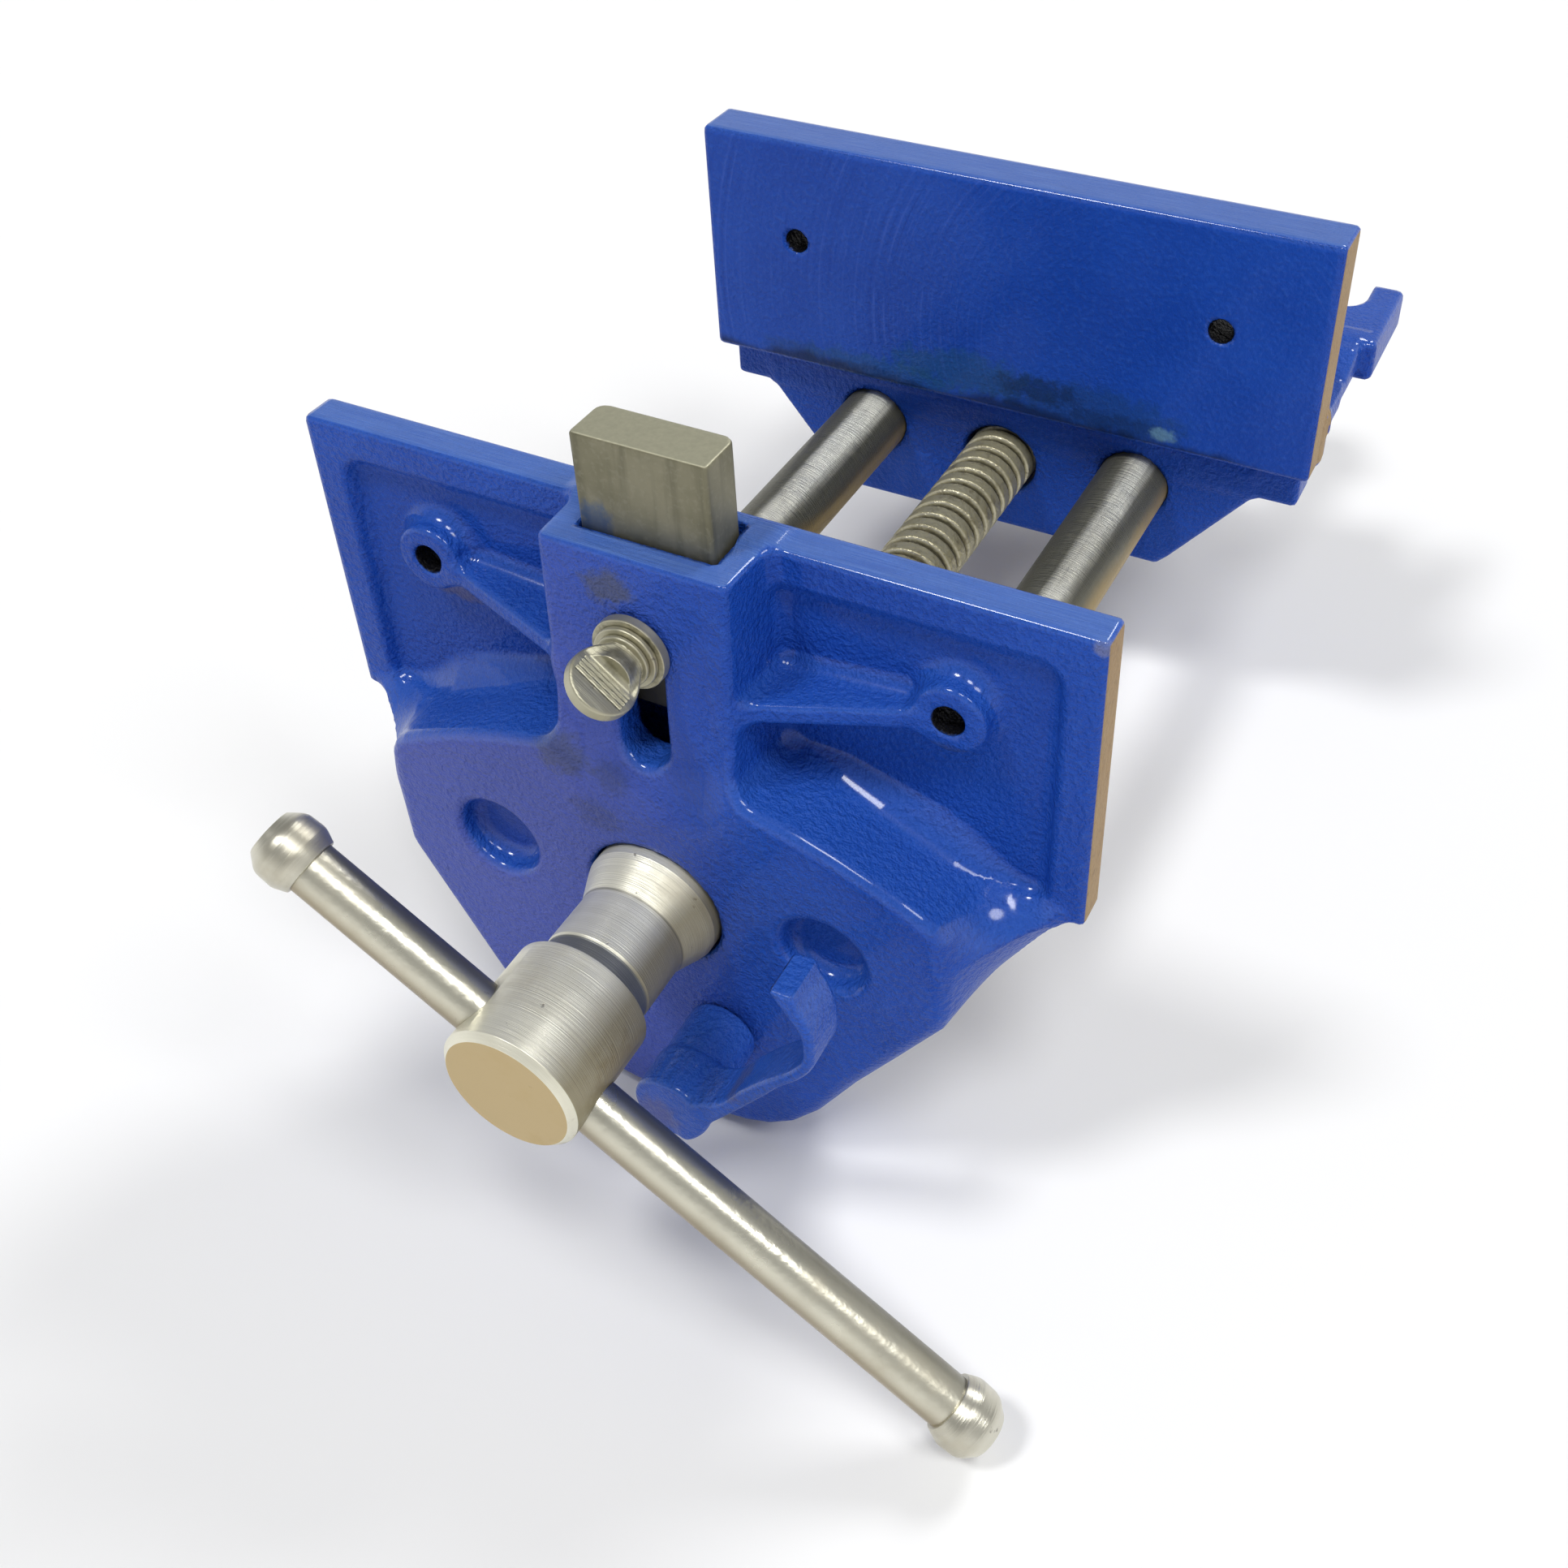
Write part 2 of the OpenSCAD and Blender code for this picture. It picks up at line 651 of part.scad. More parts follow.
module tommy_bar() {
    color("silver") on_tommy() translate([0, 0, -tommy_left]) {
        cylinder(d = tommy_d, h = tommy_l);
        translate([0, 0, -knob_stub_l]) cylinder(r = knob_stub_r, h = tommy_l + 2 * knob_stub_l);
    }
}

// A turned knob, pressed on the bar's end, that swells behind a small face and ends in a dome
module knob() {
    r = knob_d / 2;
    dome = r / 2;
    difference() {
        rotate_extrude() polygon(concat([[0, 0], [knob_joint_share * r, 0],
            [knob_swell_share * r, knob_swell_at * knob_l], [r, knob_full_at * knob_l]],
            [for (k = [0 : 6]) let (a = 15 * k) [knob_flat_share * r
                + (1 - knob_flat_share) * r * cos(a), knob_l - dome + dome * sin(a)]],
            [[0, knob_l]]));
        translate([0, 0, -over]) cylinder(r = knob_stub_r, h = knob_stub_l + over);
    }
}

module tommy_knob_left() {
    color("silver") on_tommy() translate([0, 0, -tommy_left]) rotate([180, 0, 0]) knob();
}

module tommy_knob_right() {
    color("silver") on_tommy() translate([0, 0, tommy_l - tommy_left]) knob();
}

module bench_dog() {
    c = dog_corner_r;
    color("gray") difference() {
        translate([-dog_w / 2, dog_y, jaw_top + dog_up - dog_h]) linear_extrude(dog_h) union() {
            translate([c, 0]) square([dog_w - 2 * c, dog_t]);
            translate([0, c]) square([dog_w, dog_t - 2 * c]);
            for (x = [c, dog_w - c]) for (y = [c, dog_t - c]) translate([x, y]) circle(r = c);
        }
        translate([0, 0, thumb_z]) rod_along(thumb_d / 2 + run_gap, dog_y - over, dog_t + 2 * over);
    }
}

module ring_on_thumb_screw(r, back_y, thickness) {
    translate([0, 0, thumb_z]) difference() {
        rod_along(r, back_y - thickness, thickness);
        rod_along(thumb_d / 2 + run_gap, back_y - thickness - over, thickness + 2 * over);
    }
}

module dog_washer() {
    color("lightgray") ring_on_thumb_screw(dog_washer_r, washer_back_y, dog_washer_t);
}

module dog_lock_ring() {
    color("silver")
        ring_on_thumb_screw(lock_ring_r, washer_back_y - dog_washer_t - run_gap, lock_ring_t);
}

module dog_thumb_screw() {
    root_y = shoulder_y - shoulder_t;
    color("lightgray") translate([0, 0, thumb_z]) {
        rod_along(thumb_d / 2, shoulder_y - over,
            dog_y + dog_t - thumb_tip_gap - shoulder_y + over);
        rod_along(shoulder_r, shoulder_y - shoulder_t, shoulder_t);
        rod_along(grip_neck_r, root_y - grip_neck_l, grip_neck_l + over);
        translate([0, root_y + grip_sink - grip_d / 2, 0]) rotate([0, grip_tilt, 0])
            cylinder(d = grip_d, h = grip_t, center = true);
    }
}

// One side of the hook, from the hub's axis: a straight arm, then an arc back over the finger
function hook_line(inset) = let (along = [cos(hook_from_angle), sin(hook_from_angle)],
    shift = inset * [-along[1], along[0]]) concat(
    [hook_start - hook_arm_l * along + shift, hook_start + shift],
    [for (k = [1 : hook_steps])
        let (a = hook_from_angle + k * (hook_to_angle - hook_from_angle) / hook_steps)
        hook_start + shift + (hook_arc_r - inset) * [sin(a) - along[1], along[0] - cos(a)]]);

module release_lever() {
    outer = hook_line(0);
    inner = hook_line(hook_t);
    tip = outer[len(outer) - 1] + hook_tip_l * [cos(hook_to_angle), sin(hook_to_angle)];
    color("royalblue") difference() {
        translate([rod_x, 0, rod_z]) union() {
            translate(hub_shift) {
                rod_along(hub_r, hub_face_y, hook_w);
                rod_along(hub_back_r, hub_face_y, hook_w + hub_back_l);
            }
            slab(hub_face_y, hook_w) polygon(concat(outer, [tip, tip - [hook_tip_w, 0]],
                [for (k = [len(inner) - 1 : -1 : 1]) inner[k]], [hook_root]));
        }
        translate([rod_x, 0, rod_z])
            rod_along(rod_d / 2, hub_face_y + rod_sink, hook_w + hub_back_l);
        lever_pin_hole();
    }
}

module lever_pin_hole() {
    translate([rod_x, hub_face_y + hook_w + hub_back_l / 2, rod_z])
        cylinder(r = roll_pin_r, h = 3 * hub_back_r, center = true);
}

module lever_pin() {
    color("dimgray") translate([rod_x, hub_face_y + hook_w + hub_back_l / 2, rod_z])
        cylinder(r = roll_pin_r, h = 2 * hub_back_r - roll_pin_r, center = true);
}

module release_rod() {
    front = hub_face_y + rod_sink;
    flat_y = front_face_y + spring_l + collar_w + 2 * over;
    color("silver") difference() {
        translate([rod_x, 0, rod_z]) rod_along(rod_d / 2, front, tie_y + tie_t + over - front);
        translate([rod_x - rod_d, flat_y, rod_z + rod_d / 2 - rod_flat])
            cube([2 * rod_d, tie_y - flat_y - over, rod_d]);
        lever_pin_hole();
    }
}

// The spring is a coil of round wire, drawn as one tube of six sides
rings_per_curl = 8;
function spring_centre(k) = let (a = 360 * k / rings_per_curl)
    [spring_r * sin(a), spring_pitch * k / rings_per_curl, spring_r * cos(a)];
function spring_ring(k, r) = let (a = 360 * k / rings_per_curl)
    [for (s = [0 : 5]) spring_centre(k)
        + r * cos(60 * s) * [sin(a), 0, cos(a)] + r * sin(60 * s) * [0, 1, 0]];
// Least gap between the wire's centre line and itself one curl on, less the wire
spring_gap = min([for (k = [0 : rings_per_curl]) for (m = [rings_per_curl - 2 : rings_per_curl + 2])
    norm(spring_centre(k) - spring_centre(k + m))]) - 2 * spring_wire_r;
echo(spring_gap = spring_gap);

module rod_spring() {
    last = spring_curls * rings_per_curl;
    points = [for (k = [0 : last]) each spring_ring(k, spring_wire_r)];
    walls = [for (k = [0 : last - 1]) for (s = [0 : 5]) let (t = (s + 1) % 6)
        each [[6 * k + s, 6 * k + t, 6 * k + 6 + t], [6 * k + s, 6 * k + 6 + t, 6 * k + 6 + s]]];
    ends = [[for (s = [5 : -1 : 0]) s], [for (s = [0 : 5]) 6 * last + s]];
    color("dimgray") translate([rod_x, spring_y + spring_wire_r, rod_z])
        polyhedron(points, concat(walls, ends));
}

module spring_collar() {
    y = spring_y + spring_l + move_gap;
    color("dimgray") translate([rod_x, 0, rod_z]) difference() {
        rod_along(spring_r + 2 * spring_wire_r, y, collar_w);
        rod_along(rod_d / 2, y - over, collar_w + 2 * over);
        translate([0, y + collar_w / 2, -rod_d / 2 - rod_d]) cylinder(r = grub_r, h = rod_d + over);
    }
}

module collar_grub_screw() {
    y = spring_y + spring_l + move_gap;
    color("black") translate([rod_x, y + collar_w / 2, rod_z - rod_d / 2])
        mirror([0, 0, 1]) difference() {
            cylinder(r = grub_r, h = spring_r + spring_wire_r - rod_d / 2);
            translate([0, 0, spring_r - rod_d / 2 - grub_r / 2])
                cylinder(r = grub_r / 2, h = 2 * grub_r, $fn = 6);
        }
}

// One mounting lug: a pad with a slot open to the back, on an arm from the jaw plate
module lug() {
    boss_z = -lug_t - lug_boss_drop;
    slot_x = slot_pitch / 2;
    arm_l = lug_front_y - bench_y + 2 * over;
    difference() {
        union() {
            translate([lug_in_x, lug_front_y, boss_z])
                cube([lug_half_w - lug_in_x, lug_boss_l, -boss_z]);
            translate([lug_in_x, lug_front_y, -lug_t])
                cube([lug_half_w - lug_in_x, lug_back_y - lug_front_y, lug_t]);
            translate([lug_in_x, bench_y - over, 0]) rotate([90, 0, 90])
                linear_extrude(jaw_w / 2 - lug_in_x) polygon([[0, -arm_t - deck_t],
                    [over + arm_root_l, -arm_t - deck_t], [over + arm_flare_l, -arm_t],
                    [arm_l, -arm_t], [arm_l, 0], [arm_l - arm_fall_l, -arm_fall / 2],
                    [arm_flat_l, -arm_fall], [0, -arm_fall]]);
        }
        translate([slot_x, 0, boss_z - over]) cylinder(d = slot_w, h = -boss_z + 2 * over);
        translate([slot_x - slot_w / 2, 0, boss_z - over])
            cube([slot_w, lug_back_y + over, -boss_z + 2 * over]);
    }
}

module rear_jaw() {
    plate_foot = jaw_top - rear_plate_h;
    deck_z = -arm_t - deck_t;
    color("royalblue") difference() {
        union() {
            slab(rear_face_y, rear_plate_t) union() {
                translate([-jaw_w / 2 + plate_round_r, plate_foot])
                    square([jaw_w - 2 * plate_round_r, rear_plate_h]);
                translate([-jaw_w / 2, plate_foot + plate_round_r])
                    square([jaw_w, rear_plate_h - plate_round_r]);
                for (side = [-1, 1])
                    translate([side * (jaw_w / 2 - plate_round_r), plate_foot + plate_round_r])
                        circle(r = plate_round_r);
            }
            // The apron below the plate carries the guides and the screw's way through
            slab(apron_y, apron_t) polygon([for (side = [1, -1])
                for (p = side > 0 ? apron_half() : [for (k = [4 : -1 : 0]) apron_half()[k]])
                    [side * p[0], p[1]]]);
            mirrored() {
                translate([bar_x, 0, bar_z]) rod_along(tube_r, apron_y, guide_l);
                lug();
                // Web that joins the guide to the deck
                translate([bar_x - tube_r / 2, apron_y, bar_z])
                    cube([tube_r, guide_l, deck_z - bar_z + over]);
            }
            translate([-lug_in_x - over, bench_y - over, deck_z])
                cube([2 * (lug_in_x + over), lug_back_y - bench_y, deck_t]);
            // Back wall of the nut's chamber
            slab(back_wall_y, chamber_wall_t) translate([-bar_x, pivot_z - eye_r])
                square([bar_pitch, deck_z - pivot_z + eye_r + over]);
            // Right wall, with the two ears that hold the release finger
            translate([chamber_x, apron_y, pivot_z - eye_r])
                cube([chamber_wall_t, back_wall_y - apron_y + over,
                    deck_z - pivot_z + eye_r + over]);
            for (y = [sleeve_y - ear_t, sleeve_y + sleeve_l + 2 * move_gap]) {
                translate([rod_x, 0, rod_z]) rod_along(ear_r, y, ear_t);
                slab(y, ear_t) polygon([[rod_x, rod_z - ear_r],
                    [chamber_x + chamber_wall_t, rod_z], [chamber_x + chamber_wall_t, pivot_z],
                    [chamber_x, pivot_z], [chamber_x, pivot_z - eye_r],
                    [rod_x, rod_z + ear_r - over]]);
            }
            // Boss for the pivot pin on the apron's back
            translate([pivot_x, 0, pivot_z]) rod_along(eye_r, apron_y, nut_y - apron_y - move_gap);
        }
        mirrored() {
            translate([bar_x, 0, bar_z])
                rod_along(bar_d / 2 + run_gap, apron_y - over, guide_l + 2 * over);
            translate([rear_hole_pitch / 2, 0, jaw_top - rear_hole_drop])
                rod_along(lining_hole_d / 2, rear_face_y - over, rear_plate_t + 2 * over);
        }
        translate([0, 0, screw_z]) rod_along(thread_r + over, apron_y - over, guide_l + 2 * over);
        translate([pivot_x, 0, pivot_z])
            rod_along(pivot_r, pin_front_y, pin_back_y - pin_front_y + over);
        translate([rod_x, 0, rod_z]) rod_along(rod_d / 2 + 2 * move_gap, apron_y, guide_l);
    }
}

// Right half of the apron's outline, from its top down
function apron_half() = [[strip_half_w, jaw_top - rear_plate_h + over],
    [strip_half_w, jaw_top - strip_drop], [apron_shoulder_x, jaw_top - strip_drop],
    [apron_foot_x + apron_chamfer, jaw_top - apron_drop + apron_chamfer],
    [apron_foot_x, jaw_top - apron_drop]];

// The half nut grips the screw from below and swings down on its pivot pin
module half_nut() {
    top_z = screw_z - nut_grip_drop;
    color("peru") difference() {
        union() {
            translate([-nut_half_w, nut_y, nut_foot_z])
                cube([2 * nut_half_w, nut_l, top_z - nut_foot_z]);
            translate([pivot_x, 0, pivot_z]) rod_along(eye_r - eye_relief, nut_y, nut_l);
            translate([pivot_x, nut_y, nut_foot_z])
                cube([-pivot_x, nut_l, pivot_z - nut_foot_z + eye_r / 2]);
            translate([0, sleeve_y + foot_inset, rod_z + finger_rise + move_gap])
                cube([foot_w, sleeve_l - 2 * foot_inset, nut_foot_z - rod_z + over]);
        }
        translate([0, 0, screw_z]) thread_rod(nut_y - 4 * thread_lead,
            nut_y + nut_l + 4 * thread_lead, nut_y, root_r + thread_gap, thread_r + thread_gap,
            thread_gap);
        translate([pivot_x, 0, pivot_z])
            rod_along(pivot_r + run_gap, nut_y - over, nut_l + 2 * over);
    }
}

module nut_pivot_pin() {
    color("silver") translate([pivot_x, 0, pivot_z])
        rod_along(pivot_r, pin_front_y, pin_back_y - pin_front_y + pin_tail);
}

module pivot_clip() {
    color("dimgray") translate([pivot_x, 0, pivot_z]) difference() {
        rod_along(pivot_r + clip_rim, pin_back_y, clip_t);
        rod_along(pivot_r, pin_back_y - over, clip_t + 2 * over);
    }
}

// Sleeve keyed to the rod's flat, with a finger that holds the half nut up
module release_finger() {
    color("dimgray") translate([rod_x, 0, rod_z]) difference() {
        union() {
            rod_along(sleeve_r, sleeve_y + move_gap, sleeve_l);
            slab(sleeve_y + move_gap + (sleeve_l - finger_w) / 2, finger_w)
                polygon([[0, sleeve_r], [-finger_l / 2, finger_rise], [-finger_l, finger_rise],
                    [-finger_l - finger_chamfer / 2, finger_rise - finger_chamfer],
                    [-finger_l, -finger_chamfer], [0, -sleeve_r]]);
        }
        difference() {
            rod_along(rod_d / 2 + run_gap, sleeve_y - over, sleeve_l + 3 * over);
            translate([-rod_d, sleeve_y - 2 * over, rod_d / 2 - rod_flat + 2 * run_gap])
                cube([2 * rod_d, sleeve_l + 5 * over, rod_d]);
        }
    }
}

front_jaw();
guide_bar_left();
guide_bar_right();
tie_plate();
tie_washers();
tie_nuts();
screw_bush();
lead_screw();
thrust_collar();
collar_pin();
end_washer();
split_pin();
tommy_bar();
tommy_knob_left();
tommy_knob_right();
bench_dog();
dog_washer();
dog_lock_ring();
dog_thumb_screw();
release_lever();
release_rod();
lever_pin();
rod_spring();
spring_collar();
collar_grub_screw();
rear_jaw();
half_nut();
nut_pivot_pin();
pivot_clip();
release_finger();
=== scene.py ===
import math

import bpy
import numpy as np
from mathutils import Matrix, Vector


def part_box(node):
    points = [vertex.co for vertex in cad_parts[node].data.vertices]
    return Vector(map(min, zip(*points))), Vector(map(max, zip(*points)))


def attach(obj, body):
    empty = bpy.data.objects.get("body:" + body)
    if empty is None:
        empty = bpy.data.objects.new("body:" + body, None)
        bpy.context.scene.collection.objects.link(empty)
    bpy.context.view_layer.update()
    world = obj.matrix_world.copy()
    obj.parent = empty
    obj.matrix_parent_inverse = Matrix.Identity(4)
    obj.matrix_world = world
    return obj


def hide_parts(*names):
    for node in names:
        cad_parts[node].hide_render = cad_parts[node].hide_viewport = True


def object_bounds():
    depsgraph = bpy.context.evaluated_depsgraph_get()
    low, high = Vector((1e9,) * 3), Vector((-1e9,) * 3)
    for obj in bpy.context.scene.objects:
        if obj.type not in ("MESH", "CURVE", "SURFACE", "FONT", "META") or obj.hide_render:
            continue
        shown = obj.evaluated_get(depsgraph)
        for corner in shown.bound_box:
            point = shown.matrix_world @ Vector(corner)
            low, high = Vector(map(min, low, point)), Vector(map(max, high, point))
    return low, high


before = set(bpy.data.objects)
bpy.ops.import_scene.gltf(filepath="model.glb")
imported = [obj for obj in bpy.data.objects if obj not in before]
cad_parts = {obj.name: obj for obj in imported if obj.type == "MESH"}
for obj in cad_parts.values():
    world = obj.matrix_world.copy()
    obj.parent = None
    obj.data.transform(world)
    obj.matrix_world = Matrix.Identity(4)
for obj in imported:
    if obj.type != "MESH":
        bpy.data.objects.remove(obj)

cad_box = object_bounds()

# Front jaw: one iron casting with sunk panels, a housing for the bench dog and a thick belly
# that carries the screw and the guide bars. It is sprayed with blue enamel; only its top and
# its clamping face were ground before the paint.

# In mm off its top front edge: the part's origin, half the jaw's width, where the screw, the
# guide bars and the release rod go through it, the place and radius of the two holes for the
# screws of a wooden lining, and the ends of the plate, of a sunk panel and of the dog's slot.
origin = np.array([0, 238.5, -50])
jaw_half, screw_z, bar_x, rod_x, rod_z = 89, -87.5, 40.2, 16.5, -122
front_lining = (60, -26.5, 3.25)
plate_back, plate_foot, belly_front = 8.9, -73, -20
panel_x, panel_z, panel_half, panel_r, panel_deep = 48.2, -39.6, (27.1, 25.6), 5, 3
slot_top, slot_foot, slot_r = -20, -44.5, 5.5


def block(x, y, z, low, high, r):
    """Distance to a box with edges of radius r: that of a box r smaller, less r."""
    c, h = (np.add(low, high) / 2, np.subtract(high, low) / 2 - r)
    q = [np.abs(p - m) - s for p, m, s in zip((x, y, z), c, h)]
    outside = np.sqrt(sum(np.maximum(a, 0) ** 2 for a in q))
    return outside + np.minimum(np.maximum(np.maximum(q[0], q[1]), q[2]), 0) - r


def join(a, b, r):
    """Two distances made one solid, with a hollow fillet of radius r where they meet."""
    corner = np.hypot(np.maximum(r - a, 0), np.maximum(r - b, 0))
    return np.maximum(r, np.minimum(a, b)) - corner


def both(a, b, r):
    """What two solids share, with the edge between them rounded to radius r."""
    corner = np.hypot(np.maximum(r + a, 0), np.maximum(r + b, 0))
    return np.minimum(-r, np.maximum(a, b)) + corner


def cut(a, b, r):
    """Solid a without b, with the edge between them rounded to radius r."""
    return both(a, -b, r)


def outline(u, v, points):
    """Signed distance in a plane to a closed outline, negative inside.

    It is the least distance to the outline's sides. The sign changes with each side that
    a ray along +u crosses.
    """
    best, inside = np.inf, False
    for (u0, v0), (u1, v1) in zip(points, points[1:] + points[:1]):
        du, dv = u1 - u0, v1 - v0
        t = np.clip(((u - u0) * du + (v - v0) * dv) / (du * du + dv * dv), 0, 1)
        best = np.minimum(best, np.hypot(u - u0 - t * du, v - v0 - t * dv))
        if dv:
            crosses = ((v0 > v) != (v1 > v)) & (u < u0 + (v - v0) * du / dv)
            inside = np.logical_xor(inside, crosses)
    return np.where(inside, -best, best)


def to_part(points):
    """From millimetres off the front jaw's top front edge to metres in the part's frame."""
    return (points - origin) * 0.001


def cast(name, field, low, high, step):
    """A solid whose surface is where field(x, y, z) is 0, between two corners in mm.

    The field is worked out on a cubic grid. Each cell that the surface crosses gets a point, the
    mean of the crossings on its edges, and each grid edge that it crosses gets the square of
    the four cells round it. Steps along the field's gradient then bring the points onto the
    surface, and the gradient there is the shading normal.
    """
    x, y, z = (np.arange(a - 2 * step, b + 3 * step, step) for a, b in zip(low, high))
    f = field(x[:, None, None], y[None, :, None], z[None, None, :])
    cells = np.array(f.shape) - 1
    total, hits, squares = np.zeros((cells.prod(), 3)), np.zeros(cells.prod()), []
    for axis in range(3):
        before, after = np.delete(f, -1, axis), np.delete(f, 0, axis)
        at = np.argwhere((before < 0) != (after < 0))
        a, b = before[tuple(at.T)], after[tuple(at.T)]
        crossing = at.astype(float)
        crossing[:, axis] += a / (a - b)
        ring = []
        for du, dv in ((0, 0), (1, 0), (1, 1), (0, 1)):
            cell = at.copy()
            cell[:, (axis + 1) % 3] -= du
            cell[:, (axis + 2) % 3] -= dv
            flat = np.ravel_multi_index(cell.T, cells)
            hits += np.bincount(flat, minlength=len(hits))
            for k in range(3):
                total[:, k] += np.bincount(flat, crossing[:, k], len(hits))
            ring.append(flat)
        ring = np.stack(ring, 1)
        squares.append(np.where((a < 0)[:, None], ring, ring[:, ::-1]))
    used = hits > 0
    p = total[used] / hits[used, None] * step + [x[0], y[0], z[0]]
    faces = (np.cumsum(used) - 1)[np.concatenate(squares)]
    e = 0.02 * step
    for k in range(4):
        g = np.stack([(field(*(p + e * d).T) - field(*(p - e * d).T)) / (2 * e)
                      for d in np.eye(3)], 1)
        g /= np.maximum(np.linalg.norm(g, axis=1, keepdims=True), 0.2)
        if k < 3:
            p -= g * np.clip(field(*p.T), -0.5 * step, 0.5 * step)[:, None]
    return new_mesh(name, to_part(p), faces.tolist(), g)


def new_mesh(name, points, faces, normals=None):
    """A mesh object at the origin, shaded smooth, with its own normals where they are known."""
    mesh = bpy.data.meshes.new(name)
    mesh.from_pydata(points, [], faces)
    mesh.shade_smooth()
    if normals is not None:
        mesh.normals_split_custom_set_from_vertices(normals.tolist())
    obj = bpy.data.objects.new(name, mesh)
    bpy.context.collection.objects.link(obj)
    return obj


class Wire:
    """A value or colour in a finish. Sums and products of wires add the Math nodes for them."""

    def __init__(self, finish, socket):
        self.finish, self.socket = finish, socket

    def math(self, operation, *values):
        return self.finish.node("Math", {"operation": operation}, dict(enumerate(values)))

    def __add__(self, other): return self.math("ADD", self, other)
    def __sub__(self, other): return self.math("SUBTRACT", self, other)
    def __mul__(self, other): return self.math("MULTIPLY", self, other)
    def __truediv__(self, other): return self.math("DIVIDE", self, other)
    def __rsub__(self, other): return self.math("SUBTRACT", other, self)
    __radd__, __rmul__ = __add__, __mul__

    def __abs__(self): return self.math("ABSOLUTE", self)

    def root(self): return self.math("SQRT", self)

    def over(self, low, high):
        """0 at low, 1 at high and smooth between them."""
        return self.finish.node("MapRange", {"interpolation_type": "SMOOTHSTEP"},
                                {"Value": self, "From Min": low, "From Max": high})


class Finish:
    """A material whose pattern is worked out from the object's own coordinates in metres."""

    def __init__(self, name):
        self.material = bpy.data.materials.new(name)
        self.material.use_nodes = True
        self.tree = self.material.node_tree
        self.shader = self.tree.nodes["Principled BSDF"]
        self.place = self.node("TexCoord", {}, {}, "Object")
        facing = self.node("NewGeometry", {}, {}, "Normal")
        self.x, self.y, self.z = self.parts(self.place)
        self.nx, self.ny, self.nz = self.parts(facing)

    def parts(self, vector):
        return [self.node("SeparateXYZ", {}, {0: vector}, k) for k in range(3)]

    def node(self, kind, settings, inputs, output=0):
        node = self.tree.nodes.new("ShaderNode" + kind)
        for key, value in settings.items():
            setattr(node, key, value)
        for key, value in inputs.items():
            self.feed(node.inputs[key], value)
        return Wire(self, node.outputs[output])

    def feed(self, socket, value):
        if isinstance(value, Wire):
            self.tree.links.new(value.socket, socket)
        else:
            socket.default_value = value

    def set(self, **values):
        for key, value in values.items():
            self.feed(self.shader.inputs[key.replace("_", " ")], value)
        return self

    def now(self, name):
        """What feeds an input of the shader so far."""
        return Wire(self, self.shader.inputs[name].links[0].from_socket)

    def mix(self, amount, first, second):
        colours = [c if isinstance(c, Wire) else (*c, 1) for c in (first, second)]
        return self.node("Mix", {"data_type": "RGBA"},
                         {0: amount, 6: colours[0], 7: colours[1]}, 2)

    def noise(self, scale, detail=2, stretch=(1, 1, 1), shift=(0, 0, 0), rough=0.5):
        at = self.node("Mapping", {}, {"Vector": self.place, "Location": shift, "Scale": stretch})
        return self.node("TexNoise", {}, {"Vector": at, "Scale": scale, "Detail": detail,
                                          "Roughness": rough})

    def patch(self, centre, size, ragged=0.7):
        """1 inside an ellipsoid, fading to 0 round it, with a ragged edge. Both are in mm."""
        grow = [1000 / s for s in size]
        shift = [-c * g for c, g in zip(to_part(np.array(centre)).tolist(), grow)]
        off = self.node("Mapping", {}, {"Vector": self.place, "Location": shift, "Scale": grow})
        away = self.node("VectorMath", {"operation": "LENGTH"}, {0: off}, 1)
        torn = self.noise(330, 4, shift=(2, 6, 3), rough=0.65)
        return 1 - (away + (torn - 0.5) * (2 * ragged)).over(0.45, 1)

    def bump(self, height, distance, strength=1.0, under=None):
        inputs = {"Height": height, "Distance": distance, "Strength": strength}
        if under is not None:
            inputs["Normal"] = under
        return self.node("Bump", {}, inputs)


def dress(obj, finish, body, slot, *nodes):
    """Gives a piece its finish, parents it to the body it moves with and hides the CAD nodes it
    stands for.
    """
    obj.data.materials.clear()
    obj.data.materials.append(finish.material)
    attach(obj, body)
    if nodes:
        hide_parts(*nodes)
    return obj


belly_face = [(21, -49), (34.4, -52.6), (43.5, -55.4), (52, -58.8), (58, -61.6), (62.8, -64.3),
              (65.6, -66.8), (67, -70.3), (67.3, -75), (67.4, -92.5), (66.4, -96), (45.5, -125.8),
              (36.5, -140.9), (30.3, -148.3), (24.4, -152.6), (18.1, -155.1), (8, -156.8),
              (-8, -156.9), (-18, -155.6), (-26, -152.6), (-33.5, -148.2), (-41, -142.2),
              (-48.3, -134.4), (-66.4, -99.5), (-67.3, -97), (-67.3, -75), (-67, -70.3),
              (-65.6, -66.8), (-62.8, -64.3), (-58, -61.6), (-52, -58.8), (-43.5, -55.4),
              (-34.4, -52.6), (-21, -49), (-16, -60), (16, -60)]
belly_back_half = [(22, -51.5), (35.7, -53), (51.6, -60.4), (69.2, -68.3), (78, -70), (83.6, -70.6),
                   (83.6, -74.4), (80.7, -78.4), (72, -92.3), (60, -113), (48.4, -131),
                   (39, -143), (32.5, -150), (25.5, -154.6), (18, -156.8), (8, -158.3)]
belly_back = belly_back_half + [(-u, v) for u, v in reversed(belly_back_half)]


